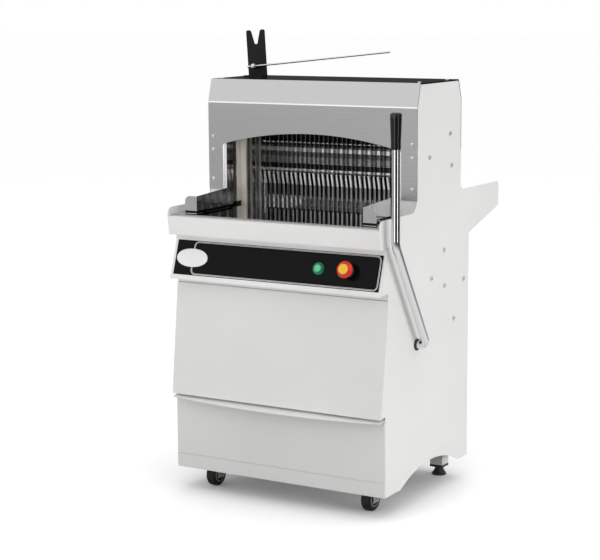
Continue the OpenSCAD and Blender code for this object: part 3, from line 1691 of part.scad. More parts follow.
// Shaft with four eccentric discs: front pair offset forward, rear pair backward.
module eccentric_shaft() {
  color(iron) {
    bar_x(-stand_x - stand_t, belt_x + pulley_w / 2, crank_d, blade_mid_y, crank_z);
    both_sides() {
      bar_x(front_rod_x - rod_t / 2, front_rod_x + rod_t / 2, ecc_d, blade_mid_y - crank_e, crank_z);
      bar_x(rear_rod_x - rod_t / 2, rear_rod_x + rod_t / 2, ecc_d, blade_mid_y + crank_e, crank_z);
    }
  }
}

module crank_pulley() {
  color(iron) translate([belt_x, blade_mid_y, crank_z]) pulley(pulley_d, crank_d + 2 * run_play);
}

module motor_pulley() {
  color(iron) {
    translate([belt_x, -motor_ahead, motor_z]) pulley(drive_d, motor_shaft_d / 2);
    bar_x(motor_right - motor_bore, belt_x + pulley_w / 2, motor_shaft_d, -motor_ahead, motor_z);
  }
}

// Rods between eccentrics and one frame's wrist pins.
module rods(y, ecc_y, x) {
  half = shank_w / 2;
  color(steel) both_sides() side_view(x - rod_t / 2, rod_t) difference() {
    union() {
      translate([ecc_y, crank_z]) circle(d = big_end_d);
      translate([y, wrist_z]) circle(d = small_end_d);
      polygon([[ecc_y - half, crank_z], [ecc_y + half, crank_z], [y + half, wrist_z], [y - half, wrist_z]]);
    }
    translate([ecc_y, crank_z]) circle(d = ecc_d + 2 * run_play);
    translate([y, wrist_z]) circle(d = wrist_d + 2 * run_play);
  }
}

module front_rods() {
  rods(front_y, blade_mid_y - crank_e, front_rod_x);
}

module rear_rods() {
  rods(rear_y, blade_mid_y + crank_e, rear_rod_x);
}

// Crumb drawer: front sheet, bowed pull lip, box hung on flanges.
module crumb_drawer() {
  front = -lower_ahead + sheet_t;
  side = half_w - steel_gap;
  low = seam_z + cover_gap / 2;
  color(coat) {
    box([-side, -lower_ahead, low], [side, front, seam_z + drawer_h]);
    translate([0, -lower_ahead + sheet_t / 2, seam_z + drawer_h + sheet_t]) rotate([lip_deg, 0, 0])
      translate([0, 0, -lip_t]) linear_extrude(height = lip_t) intersection() {
        translate([-lip_half, -lip_mid - over]) square([2 * lip_half, lip_mid + over + sheet_t / 2]);
        translate([0, lip_r - lip_mid - sheet_t / 2 / cos(lip_deg)]) circle(r = lip_r);
      }
    difference() {
      box([-drawer_half, front, drawer_z], [drawer_half, drawer_rear_y, drawer_top_z]);
      box([-drawer_half + drawer_t, front + drawer_t, drawer_z + drawer_t],
        [drawer_half - drawer_t, drawer_rear_y - drawer_t, drawer_top_z + over]);
    }
    both_sides() box([drawer_half, -lower_ahead + fold_d, drawer_top_z - drawer_t],
      [drawer_half + drawer_flange, drawer_rear_y, drawer_top_z]);
  }
}

// Side fence: plate, rounded front flange, foot, and wing screw.
module fence() {
  out_x = fence_x + fence_flange;
  front = -fence_ahead;
  top = table_z + fence_h;
  color(bright) {
    box([fence_x, front, table_z], [fence_x + fence_t, guide_front_y - fence_short, top]);
    front_view(front, fence_t) {
      translate([fence_x, table_z]) square([fence_flange, fence_h - fence_r]);
      translate([fence_x, table_z]) square([fence_flange - fence_r, fence_h]);
      translate([out_x - fence_r, top - fence_r]) circle(r = fence_r);
    }
    box([fence_x, front, table_z], [out_x, front + fence_foot, table_z + fence_t]);
    translate([wing_x, -wing_ahead, table_z + fence_t]) {
      cylinder(h = wing_hub_h, d = wing_hub_d);
      box([-wing_span / 2, -wing_t / 2, wing_hub_h / 2], [wing_span / 2, wing_t / 2, wing_h]);
    }
    translate([wing_x, -wing_ahead, table_low_z - nut_h])
      cylinder(h = table_t + nut_h + fence_t, d = wing_d);
    translate([wing_x, -wing_ahead, table_low_z - nut_h - steel_gap])
      cylinder(h = nut_h, d = nut_d, $fn = 6);
  }
}

module fence_left() {
  mirror([1, 0, 0]) fence();
}

module fence_right() {
  fence();
}

place() {
  left_side_panel();
  right_side_panel();
  base_frame();
  front_skirt();
  front_cover();
  fascia_housing();
  fascia_plate();
  badge_plate();
  front_tray();
  front_table();
  rear_table();
  rear_tray_pan();
  rear_cover();
  cable_gland();
  hood_front();
  hood_rear();
  top_lid();
  bright_screws();
  panel_bolts();
  chamber_walls();
  guide_rails();
  guide_columns();
  pusher_rails();
  drive_deck();
  motor_body();
  crank_bearings();
  v_belt();
  start_body();
  stop_body();
  control_box();
  lever_bushes();
  drawer_runners();
  castor_forks();
  leg_plugs();
  bag_post();
  lever_tube();
  lever_grip();
  lever_shaft();
  pusher_carriage();
  pusher_plate();
  pusher_comb();
  front_frame();
  front_blades();
  rear_frame();
  rear_blades();
  eccentric_shaft();
  crank_pulley();
  front_rods();
  rear_rods();
  motor_pulley();
  start_cap();
  stop_head();
  crumb_drawer();
  wheel_left();
  wheel_right();
  foot_left();
  foot_right();
  fence_left();
  fence_right();
  bag_rod();
}
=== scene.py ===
from math import radians

import bmesh
import bpy
import numpy as np
from mathutils import Matrix


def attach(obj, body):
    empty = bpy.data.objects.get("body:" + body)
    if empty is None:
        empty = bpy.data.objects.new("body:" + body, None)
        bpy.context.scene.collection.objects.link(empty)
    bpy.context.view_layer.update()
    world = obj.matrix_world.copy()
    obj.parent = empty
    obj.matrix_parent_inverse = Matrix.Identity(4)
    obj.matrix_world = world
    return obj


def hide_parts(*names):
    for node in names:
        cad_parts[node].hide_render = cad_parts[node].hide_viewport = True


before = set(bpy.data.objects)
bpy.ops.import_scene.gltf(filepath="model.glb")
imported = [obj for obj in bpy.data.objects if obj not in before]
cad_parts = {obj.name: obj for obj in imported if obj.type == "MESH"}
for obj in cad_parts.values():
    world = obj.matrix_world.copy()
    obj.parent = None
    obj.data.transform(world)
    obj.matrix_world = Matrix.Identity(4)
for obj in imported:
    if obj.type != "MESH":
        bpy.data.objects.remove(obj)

# The studio starts bare: the objects that a new file brings are not part of the machine.
for leftover in ("Cube", "Light", "Camera"):
    if leftover in bpy.data.objects:
        bpy.data.objects.remove(bpy.data.objects[leftover])
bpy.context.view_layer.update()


# Cabinet shell: side panels, skirt, leaning cover, fascia housing, front and rear trays, rear cover and
# bottom frame. All are 2 mm sheet, folded and powder coated in warm white, and bolted to one another.


def finish(name, colour, rough, metal=0.0, shine=0.5, coat=0.0, scatter=None):
    """New material: colour, roughness, metalness, shine and clear coat stand on the shader's own sockets.
    Scatter is the share of light that goes in, and how deep red, green and blue get."""
    mat = bpy.data.materials.new(name)
    mat.use_nodes = True
    shader = mat.node_tree.nodes["Principled BSDF"]
    shader.inputs["Base Color"].default_value = (*colour, 1.0)
    shader.inputs["Roughness"].default_value = rough
    shader.inputs["Metallic"].default_value = metal
    shader.inputs["Specular IOR Level"].default_value = shine
    shader.inputs["Coat Weight"].default_value = coat
    if scatter:
        share, depths = scatter
        shader.inputs["Subsurface Weight"].default_value = share
        shader.inputs["Subsurface Radius"].default_value = depths
    return mat


def grain(mat, waves, detail=2.0):
    """Noise on Object coordinates with so many waves per metre: one number, or three for X, Y and Z."""
    nodes, links = mat.node_tree.nodes, mat.node_tree.links
    place = nodes.new("ShaderNodeTexCoord")
    turn = nodes.new("ShaderNodeMapping")
    noise = nodes.new("ShaderNodeTexNoise")
    turn.inputs["Scale"].default_value = np.broadcast_to(waves, 3).tolist()
    noise.inputs["Scale"].default_value = 1.0
    noise.inputs["Detail"].default_value = detail
    links.new(place.outputs["Object"], turn.inputs["Vector"])
    links.new(turn.outputs["Vector"], noise.inputs["Vector"])
    return noise.outputs["Fac"]


def join(tree, value, socket):
    """Puts a number on a node's socket, or links the output that gives it."""
    if isinstance(value, bpy.types.NodeSocket):
        tree.links.new(value, socket)
    else:
        socket.default_value = value


def spanned(tree, value, low, high, start, stop):
    """Map Range node: runs from start to stop as the value goes from low to high."""
    node = tree.nodes.new("ShaderNodeMapRange")
    names = ("Value", "From Min", "From Max", "To Min", "To Max")
    for name, given in zip(names, (value, low, high, start, stop)):
        join(tree, given, node.inputs[name])
    return node.outputs["Result"]


def feed(mat, output, socket):
    """Links an output to one of the shader's sockets."""
    mat.node_tree.links.new(output, mat.node_tree.nodes["Principled BSDF"].inputs[socket])


# Nearly all of a noise lies between these two values.
noise_low, noise_high = 0.3, 0.7


def roughen(mat, wave, low, high):
    """Roughness that runs from low to high with the wave."""
    feed(mat, spanned(mat.node_tree, wave, noise_low, noise_high, low, high), "Roughness")


def tint(mat, wave, dark, light):
    """Colour that runs from dark to light with the wave."""
    ramp = mat.node_tree.nodes.new("ShaderNodeValToRGB")
    for stop, position, colour in zip(ramp.color_ramp.elements, (noise_low, noise_high), (dark, light)):
        stop.position = position
        stop.color = (*colour, 1.0)
    mat.node_tree.links.new(wave, ramp.inputs["Fac"])
    feed(mat, ramp.outputs["Color"], "Base Color")


def relief(mat, wave, depth, strength=1.0):
    """Bump of that depth in metres with the wave."""
    bump = mat.node_tree.nodes.new("ShaderNodeBump")
    bump.inputs["Strength"].default_value = strength
    bump.inputs["Distance"].default_value = depth
    mat.node_tree.links.new(wave, bump.inputs["Height"])
    feed(mat, bump.outputs["Normal"], "Normal")


def eased(node, width, fold=0.0, tips=None, trim=None):
    """Copy of a CAD node's sheet with its corners merged. A trim moves its edges a little. Level ends above
    a height get the tips' radius, slight folds over 0.1 m long the fold's, and then every edge over 30
    degrees is rounded to width."""
    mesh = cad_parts[node].data.copy()
    mesh.name = node + "_eased"
    if "custom_normal" in mesh.attributes:
        mesh.attributes.remove(mesh.attributes["custom_normal"])
    work = bmesh.new()
    work.from_mesh(mesh)
    bmesh.ops.remove_doubles(work, verts=work.verts, dist=2e-6)
    bmesh.ops.dissolve_limit(work, angle_limit=radians(0.4), verts=work.verts, edges=work.edges)
    if trim:
        work.to_mesh(mesh)
        points = np.empty(len(mesh.vertices) * 3)
        mesh.vertices.foreach_get("co", points)
        mesh.vertices.foreach_set("co", trim(points.reshape(-1, 3)).ravel())
        work.clear()
        work.from_mesh(mesh)

    def at_tip(edge, bend):
        """Short level edge through the sheet's thickness, above the tips' height."""
        a, b = (corner.co.z for corner in edge.verts)
        level = min(a, b) > tips[0] and abs(a - b) < 1e-5
        return level and bend > radians(60) and edge.calc_length() < 0.004

    def at_fold(edge, bend):
        """Long edge of a slight bend."""
        return radians(7) < bend < radians(30) and edge.calc_length() > 0.1

    def at_corner(edge, bend):
        """Any clear edge."""
        return bend > radians(30)

    def rounded(wanted, offset, segments):
        """Rounds the wanted ones among the edges that join two faces."""
        joined = [e for e in work.edges if len(e.link_faces) == 2]
        bmesh.ops.bevel(
            work, geom=[e for e in joined if wanted(e, e.calc_face_angle())], offset=offset,
            offset_type="OFFSET", segments=segments, profile=0.5, affect="EDGES", clamp_overlap=True,
        )

    if tips:
        rounded(at_tip, tips[1], 8)
    if fold:
        rounded(at_fold, fold, 3)
    rounded(at_corner, width, 2)
    work.to_mesh(mesh)
    work.free()
    mesh.shade_smooth()
    mesh.set_sharp_from_angle(angle=radians(38))
    piece = bpy.data.objects.new(node + "_eased", mesh)
    bpy.context.collection.objects.link(piece)
    flat = piece.modifiers.new("flat_faces_stay_flat", "WEIGHTED_NORMAL")
    flat.weight = 80
    flat.keep_sharp = True
    return piece


def fit(piece, body, slot, mat, *nodes):
    """Gives a piece its finish, lets it ride on its body and stand for its CAD nodes."""
    piece.data.materials.clear()
    piece.data.materials.append(mat)
    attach(piece, body)
    if nodes:
        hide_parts(*nodes)


powder_coat = finish("warm_white_powder_coat", (0.79, 0.785, 0.772), 0.42)
coat_peel = grain(powder_coat, 620)
relief(powder_coat, coat_peel, 0.00012, 0.35)
roughen(powder_coat, coat_peel, 0.36, 0.48)
tint(powder_coat, grain(powder_coat, 4, 4.0), (0.772, 0.767, 0.752), (0.806, 0.802, 0.79))
sheet_edge, sheet_fold = 0.0006, 0.0015
for sheet in (
    "left_side_panel", "right_side_panel", "base_frame", "front_skirt", "front_cover",
    "fascia_housing", "front_tray", "rear_tray_pan", "rear_cover",
):
    fit(eased(sheet, sheet_edge, sheet_fold), "cabinet", "white_coat", powder_coat, sheet)


# Crumb drawer: white sheet box whose front fills the lower cabinet, with a bowed pull lip along its top.
# It hangs by two flanges on folded steel runners.
fit(eased("crumb_drawer", sheet_edge), "drawer", "white_coat", powder_coat, "crumb_drawer")


# Fascia plate: black acrylic sheet on the sloping housing, with a printed silver double line round it.
# The lines are a thin raised print that runs on behind the badge.
row_origin = (18.3, 132.437048, 0.0)


def row(points):
    """Machine millimetres, counted from the hood's front face, to metres in the row frame."""
    return (np.asarray(points, float) - row_origin) / 1000.0


def skin(name, grid, wrap=(False, True)):
    """Mesh over grids of points, shape (pieces, rows, columns, 3): four neighbours span a face, wrap joins
    the last row or column to the first, and corners that meet at seams and poles are merged."""
    grid = np.asarray(grid, float)
    if grid.ndim == 3:
        grid = grid[None]
    count, rows, cols = grid.shape[:3]
    k, i, j = np.meshgrid(
        np.arange(count), np.arange(rows if wrap[0] else rows - 1),
        np.arange(cols if wrap[1] else cols - 1), indexing="ij",
    )
    here = k * rows * cols
    i2 = (i + 1) % rows
    j2 = (j + 1) % cols
    faces = np.stack(
        [here + i * cols + j, here + i2 * cols + j, here + i2 * cols + j2, here + i * cols + j2], -1
    ).reshape(-1, 4)
    mesh = bpy.data.meshes.new(name)
    mesh.from_pydata(grid.reshape(-1, 3).tolist(), [], faces.tolist())
    work = bmesh.new()
    work.from_mesh(mesh)
    bmesh.ops.remove_doubles(work, verts=work.verts, dist=1e-6)
    bmesh.ops.dissolve_degenerate(work, edges=work.edges, dist=1e-7)
    bmesh.ops.recalc_face_normals(work, faces=work.faces)
    work.to_mesh(mesh)
    work.free()
    mesh.shade_smooth()
    mesh.set_sharp_from_angle(angle=radians(40))
    piece = bpy.data.objects.new(name, mesh)
    bpy.context.collection.objects.link(piece)
    return piece


fascia_foot_y, fascia_foot_z = -177.4, 542.4
slope_in, slope_up = 0.31517, 0.94903


def on_fascia(x, up, out):
    """Points on the sloping fascia: x across, up along the slope from its foot, out of its face, in mm."""
    x, up, out = np.broadcast_arrays(*(np.asarray(v, float) for v in (x, up, out)))
    y = fascia_foot_y + slope_in * up - slope_up * out
    z = fascia_foot_z + slope_up * up + slope_in * out
    return row(np.stack([x, y, z], -1))


black_gloss = finish("black_gloss", (0.0042, 0.0042, 0.0045), 0.12, shine=0.09)
roughen(black_gloss, grain(black_gloss, 45, 5.0), 0.09, 0.19)
fit(eased("fascia_plate", 0.0004), "cabinet", "black_gloss", black_gloss, "fascia_plate")


def printed_line(name, left, right, low, high, corner, width):
    """Closed rounded rectangle on the fascia, carried as a flat strip of that width and 0.15 mm height."""
    steps, height = 13, 0.15
    turn = np.linspace(0, np.pi / 2, steps)
    corners = [
        (right - corner, high - corner, np.pi / 2), (right - corner, low + corner, 0.0),
        (left + corner, low + corner, -np.pi / 2), (left + corner, high - corner, -np.pi),
    ]
    middle, side = [], []
    for x, up, start in corners:
        angle = start - turn
        side.append(np.stack([np.cos(angle), np.sin(angle)], -1))
        middle.append(np.stack([np.full(steps, x), np.full(steps, up)], -1) + corner * side[-1])
    middle, side = np.concatenate(middle), np.concatenate(side)
    across = np.array([-0.5, 0.5, 0.5, -0.5]) * width
    out = np.array([0.0, 0.0, height, height])
    flat = middle[:, None, :] + across[None, :, None] * side[:, None, :]
    return skin(name, on_fascia(flat[..., 0], flat[..., 1], out[None, :]), (True, True))


silver_print = finish("silver_print", (0.80, 0.80, 0.81), 0.4)
roughen(silver_print, grain(silver_print, 900), 0.28, 0.45)
line_left, line_right, line_low, line_high, line_corner = -232, 278.4, 2.4, 83.2, 12
for name, inset, width in (("printed_line_outer", 0.0, 1.1), ("printed_line_inner", 2.1, 0.8)):
    line = printed_line(
        name, line_left + inset, line_right - inset, line_low + inset, line_high - inset,
        line_corner - inset, width,
    )
    fit(line, "cabinet", "bright_steel", silver_print)


# Badge: blank oval plate, enamelled white and slightly domed, with a rounded rim. It is stuck on the
# fascia's left end, over the printed lines.


def badge_oval(across, up, width, height, thick):
    """Full oval, its half width and half height times powers of cosine and sine, as rings from the rim
    to the middle; the face rises by a quarter circle at the rim, sinks inside a narrow raised border and
    swells again as a flat dome."""
    power, rim, sink, swell = 0.95, 0.03, 0.25, 0.6
    angle = np.linspace(0, 2 * np.pi, 96, endpoint=False)
    reach = np.stack([
        width / 2 * np.sign(np.cos(angle)) * np.abs(np.cos(angle)) ** power,
        height / 2 * np.sign(np.sin(angle)) * np.abs(np.sin(angle)) ** power,
    ], -1)
    bend = np.linspace(0, np.pi / 2, 6)
    inset = np.concatenate([[0.0], rim * (1 - np.cos(bend)), [0.055, 0.07], np.linspace(0.085, 1.0, 9)])
    dome = thick - sink + swell * (1 - np.linspace(1, 0, 9) ** 2)
    high = np.concatenate([[0.0], thick * np.sin(bend), [thick, thick - sink], dome])
    flat = (1 - inset)[:, None, None] * reach[None]
    return on_fascia(across + flat[..., 0], up + flat[..., 1], high[:, None])


enamel = finish("badge_enamel", (0.82, 0.82, 0.81), 0.16, coat=0.6)
relief(enamel, grain(enamel, 160), 0.00005, 0.4)
tint(enamel, grain(enamel, 30), (0.80, 0.80, 0.785), (0.84, 0.84, 0.83))
badge = skin("blank_badge", badge_oval(across=-234, up=42.7, width=88, height=45, thick=0.9))
fit(badge, "cabinet", "badge_white", enamel, "badge_plate")


# Start button: pale green translucent lens, a little domed, in a glossy dark green moulded rim and ring.
# Its barrel runs back through the fascia.


def filleted(corners, radii, steps=6):
    """Line of (radius, height) corners with each inner corner replaced by an arc of its radius."""
    corners = np.asarray(corners, float)
    out = [corners[:1]]
    for before, at, after, r in zip(corners[:-2], corners[1:-1], corners[2:], radii):
        u = (before - at) / np.linalg.norm(before - at)
        v = (after - at) / np.linalg.norm(after - at)
        half = np.arccos(np.clip(u @ v, -1, 1)) / 2
        if r <= 0 or half > np.pi / 2 - 0.02:
            out.append(at[None])
            continue
        trim = r / np.tan(half)
        mid = at + (u + v) / np.linalg.norm(u + v) * r / np.sin(half)
        start, stop = at + u * trim - mid, at + v * trim - mid
        share = np.linspace(0, 1, steps)[:, None]
        span = np.arccos(np.clip(start @ stop / r**2, -1, 1))
        arc = np.sin((1 - share) * span) * start + np.sin(share * span) * stop
        out.append(mid + arc / np.sin(span))
    out.append(corners[-1:])
    return np.concatenate(out)


def square_to(axis):
    """Two directions square to an axis and to each other, all of length 1."""
    side = np.cross(axis, (0.0, 0.0, 1.0) if abs(axis[2]) < 0.9 else (1.0, 0.0, 0.0))
    side = side / np.linalg.norm(side)
    return side, np.cross(axis, side)


def turned(name, profile, centre, axis, steps=64):
    """Solid of revolution: each (radius, height) of the profile, in mm, is carried round the axis."""
    axis = np.asarray(axis, float)
    axis = axis / np.linalg.norm(axis)
    side, other = square_to(axis)
    angle = np.linspace(0, 2 * np.pi, steps, endpoint=False)
    spoke = np.cos(angle)[:, None] * side + np.sin(angle)[:, None] * other
    profile = np.asarray(profile, float)
    points = profile[:, 0, None, None] * spoke[None] + profile[:, 1, None, None] * axis
    return skin(name, row(np.asarray(centre, float) + points))


fascia_out = (0.0, -slope_up, slope_in)
button_up = 43


def button_seat(x):
    """Where a button's axis meets the fascia, in machine millimetres."""
    return (x, fascia_foot_y + slope_in * button_up, fascia_foot_z + slope_up * button_up)


start_seat = button_seat(119.7)
ring_green = finish("ring_green", (0.012, 0.24, 0.10), 0.12)
tint(ring_green, grain(ring_green, 160), (0.010, 0.21, 0.085), (0.016, 0.27, 0.12))
relief(ring_green, grain(ring_green, 700), 0.00003, 0.35)
start_ring = turned(
    "start_ring",
    filleted(
        [(9.1, -30), (11, -30), (11, 0), (14.75, 0), (14.75, 2.6), (13.4, 5), (11.9, 5), (11.9, 0.6),
         (9.1, 0.6), (9.1, -30)],
        [0, 0, 0, 0.5, 0.8, 0.4, 0, 0],
    ),
    start_seat, fascia_out,
)
fit(start_ring, "cabinet", "green_plastic", ring_green, "start_body")
green_lens = finish("green_lens", (0.12, 0.60, 0.34), 0.2, scatter=(0.25, (0.001, 0.003, 0.001)))
tint(green_lens, grain(green_lens, 140), (0.11, 0.56, 0.31), (0.15, 0.64, 0.38))
start_lens = turned(
    "start_lens",
    filleted(
        [(0, 5.6), (8.3, 5.6), (8.3, 7.0), (7.6, 7.6), (0, 7.9)],
        [0, 0.2, 0.5],
    ),
    start_seat, fascia_out,
)
fit(start_lens, "start_button", "green_plastic", green_lens, "start_cap")
start_rim = turned(
    "start_rim",
    filleted(
        [(0, -22), (9, -22), (9, 4.9), (11.5, 4.9), (11.5, 8), (9.3, 8), (8.4, 6.6), (8.4, 5.5), (0, 5.5)],
        [0.5, 0, 0.2, 0.8, 0.6, 0.2, 0],
    ),
    start_seat, fascia_out,
)
fit(start_rim, "start_button", "green_plastic", ring_green)


# Stop button: red mushroom head of 40 mm with a yellow disc let into its face, on a black
# collar that is screwed against the fascia.
stop_seat = button_seat(198)
red_plastic = finish("red_mushroom", (0.62, 0.028, 0.018), 0.22)
tint(red_plastic, grain(red_plastic, 110), (0.58, 0.024, 0.015), (0.66, 0.034, 0.022))
relief(red_plastic, grain(red_plastic, 900), 0.00004, 0.4)
stop_dome = turned(
    "stop_mushroom",
    filleted(
        [(0, -22), (9, -22), (9, 14), (16, 14), (20, 16.5), (20, 21.5), (15.5, 26.2), (12.6, 27.6),
         (12.1, 27.2), (0, 27.2)],
        [0.5, 0.8, 1.5, 1.5, 3.2, 2.2, 0.4, 0.2],
    ),
    stop_seat, fascia_out,
)
fit(stop_dome, "stop_button", "red_plastic", red_plastic, "stop_head")
yellow_plastic = finish("yellow_disc", (0.80, 0.50, 0.012), 0.3)
tint(yellow_plastic, grain(yellow_plastic, 150), (0.76, 0.46, 0.010), (0.84, 0.54, 0.016))
disc_profile = filleted([(0, 27.2), (12, 27.2), (12, 28.3), (0, 28.8)], [0.0, 0.5])
yellow_disc = turned("stop_disc", disc_profile, stop_seat, fascia_out)
fit(yellow_disc, "stop_button", "yellow_plastic", yellow_plastic)
stop_collar = turned(
    "stop_collar",
    filleted(
        [(9.1, -30), (11, -30), (11, 0), (14.75, 0), (14.75, 5.4), (13.2, 7), (9.1, 7), (9.1, -30)],
        [0, 0, 0, 0.5, 0.8, 0],
    ),
    stop_seat, fascia_out,
)
collar_black = finish("collar_black", (0.03, 0.03, 0.032), 0.28)
roughen(collar_black, grain(collar_black, 400), 0.22, 0.36)
fit(stop_collar, "cabinet", "black_plastic", collar_black, "stop_body")


# Hood: satin stainless front with the arched mouth and a slanted strip above, brushed from side to side
# and with a painted highlight along the bend; satin black rear sheet; glossy black lid. Bright screws hold
# them.
hood_steel = finish("hood_satin_steel", (0.564, 0.556, 0.559), 0.29, 1.0)
hood_lines = grain(hood_steel, (6, 1500, 1500), 2.0)
roughen(hood_steel, hood_lines, 0.27, 0.31)
relief(hood_steel, hood_lines, 0.00001, 0.06)
tint(hood_steel, grain(hood_steel, (4, 900, 900), 2.0), (0.556, 0.548, 0.551), (0.572, 0.564, 0.567))


def reckon(tree, operation, *values):
    """Math node on numbers or outputs; gives its result."""
    node = tree.nodes.new("ShaderNodeMath")
    node.operation = operation
    for value, socket in zip(values, node.inputs):
        join(tree, value, socket)
    return node.outputs[0]


def painted_light_band(mat, height, half, colour):
    """Painted light or shade: another colour within half of one height, all in metres on Object
    coordinates.
    """
    tree = mat.node_tree
    place = tree.nodes.new("ShaderNodeTexCoord")
    split = tree.nodes.new("ShaderNodeSeparateXYZ")
    blend = tree.nodes.new("ShaderNodeMix")
    blend.data_type = "RGBA"
    plain, banded, mixed = blend.inputs[6], blend.inputs[7], blend.outputs[2]
    banded.default_value = (*colour, 1.0)
    tree.links.new(place.outputs["Object"], split.inputs["Vector"])
    tree.links.new(reckon(tree, "COMPARE", split.outputs["Z"], height, half), blend.inputs["Factor"])
    tree.links.new(tree.nodes["Principled BSDF"].inputs["Base Color"].links[0].from_socket, plain)
    feed(mat, mixed, "Base Color")


# Painted highlight: a near-white line along the bend between the slanted strip and the front.
painted_light_band(hood_steel, 0.9485, 0.0016, (0.98, 0.975, 0.97))


def wider_mouth(points):
    """The mouth's upright edges, 238 mm out, go 8.5 mm further, and the arch's ends sink with its slope."""
    further, sink = 0.0085, 0.0022
    x = points[:, 0] * 1000 + row_origin[0]
    edge = (np.abs(x) > 236.5) & (np.abs(x) < 239.5) & (points[:, 2] < 0.87)
    out = points.copy()
    out[:, 0] += np.where(edge, further * np.sign(x), 0.0)
    out[:, 2] -= np.where(edge & (points[:, 2] > 0.80), sink, 0.0)
    return out


hood_fold = 0.0018
front_sheet = eased("hood_front", 0.0005, hood_fold, trim=wider_mouth)
fit(front_sheet, "cabinet", "satin_steel", hood_steel, "hood_front")
black_coat = finish("satin_black_coat", (0.009, 0.009, 0.0095), 0.45, shine=0.2)
coat_grain = grain(black_coat, 620)
relief(black_coat, coat_grain, 0.0001, 0.35)
roughen(black_coat, coat_grain, 0.4, 0.52)
fit(eased("hood_rear", sheet_edge, hood_fold), "cabinet", "black_coat", black_coat, "hood_rear")


def slat(low, high, corner, axis):
    """Bar between two opposite corners: four quarter circles give its round-cornered cross-section, which
    is carried along one axis as rings that shrink to a point at both ends."""
    low, high = np.asarray(low, float), np.asarray(high, float)
    a, b = (k for k in range(3) if k != axis)
    turn = np.linspace(0, np.pi / 2, 5)
    start = np.array([0, 0.5, 1.0, 1.5])[:, None] * np.pi
    middle_a = np.array([high[a] - corner, low[a] + corner, low[a] + corner, high[a] - corner])[:, None]
    middle_b = np.array([high[b] - corner, high[b] - corner, low[b] + corner, low[b] + corner])[:, None]
    outline_a = (middle_a + corner * np.cos(start + turn)).ravel()
    outline_b = (middle_b + corner * np.sin(start + turn)).ravel()
    near, far, ease = low[axis], high[axis], 0.6
    along = np.array([near, near, near + ease, far - ease, far, far])
    share = np.array([0.0, 0.8, 1.0, 1.0, 0.8, 0.0])[:, None]
    grid = np.empty((6, len(outline_a), 3))
    grid[..., axis] = along[:, None]
    grid[..., a] = outline_a.mean() + share * (outline_a - outline_a.mean())
    grid[..., b] = outline_b.mean() + share * (outline_b - outline_b.mean())
    return row(grid)


rear_hem = skin("hood_rear_hem", slat((-287.6, 221, 835.5), (287.6, 236.6, 837.5), corner=0.8, axis=0))
fit(rear_hem, "cabinet", "black_coat", black_coat)
lid_gloss = finish("lid_gloss", (0.007, 0.007, 0.0075), 0.1, shine=0.01)
roughen(lid_gloss, grain(lid_gloss, 9, 5.0), 0.06, 0.16)
fit(eased("top_lid", 0.0008), "cabinet", "black_gloss", lid_gloss, "top_lid")


# Mouth edging: white strips over the upright folds at both sides of the mouth; their white is a painted
# highlight of the polished folds' bend.
highlight_white_finish = finish("painted_highlight_white", (0.90, 0.895, 0.885), 0.4)
roughen(highlight_white_finish, grain(highlight_white_finish, 500), 0.34, 0.48)
relief(highlight_white_finish, grain(highlight_white_finish, 700), 0.00004, 0.4)
mouth_edging = skin("mouth_edging", np.stack([
    slat((-247.9, -1.3, 733), (-245.4, 3, 845), corner=0.6, axis=2),
    slat((245.4, -1.3, 733), (247.9, 3, 845), corner=0.6, axis=2),
]))
fit(mouth_edging, "cabinet", "white_coat", highlight_white_finish)


# Screws and bolts: bright cross-head screws on hood and lid, and dull zinc-plated socket bolts in the
# sides, each with its nut inside the panel.


def heads(places, axis, head_d, head_h, socket):
    """Low domes round an axis: the height falls with the square of the radius, and a cross or a hexagon
    of the head's face is sunk by six tenths of that height."""
    rim_fall, socket_depth = 0.55, 0.6
    cross_half, cross_reach, hexagon_half = 0.09, 0.3, 0.18
    axis = np.asarray(axis, float)
    side, other = square_to(axis)
    angle = np.linspace(0, 2 * np.pi, 48, endpoint=False)
    r = np.concatenate([np.linspace(0, 1, 15), [1.0, 0.0]])[:, None] * head_d / 2
    x, y = r * np.cos(angle), r * np.sin(angle)
    high = head_h * (1 - rim_fall * (2 * r / head_d) ** 2) + 0 * x
    if socket == "cross":
        sunk = (np.minimum(np.abs(x), np.abs(y)) < cross_half * head_d) & (r < cross_reach * head_d)
    else:
        spans = [np.abs(np.cos(t) * x + np.sin(t) * y) for t in np.radians([0, 60, 120])]
        sunk = np.max(spans, axis=0) < hexagon_half * head_d
    high = np.where(sunk, high - socket_depth * head_h, high)
    high[-2:] = 0.0
    local = x[..., None] * side + y[..., None] * other + high[..., None] * axis
    return row(np.asarray(places, float)[:, None, None, :] + local[None])


screw_steel = finish("screw_steel", (0.84, 0.84, 0.84), 0.4, 1.0)
roughen(screw_steel, grain(screw_steel, 500), 0.32, 0.48)
front_places = [(s * 277, 0, z) for s in (-1, 1) for z in (758, 831, 863)]
lid_places = [(s * 274, y, 1005) for s in (-1, 1) for y in (42, 190)]
hood_bolts = [(175, 878), (64, 829), (183, 801)]
panel_bolts = [(145, 598.6), (78, 538), (148, 511), (256, 512), (202, 421)]
side_bolts = np.array(hood_bolts + panel_bolts, float)
panel_face, panel_back = 290, 288


def on_side(places, x):
    """Places (y, z) on the plane at that x."""
    return np.column_stack([np.full(len(places), x), places])


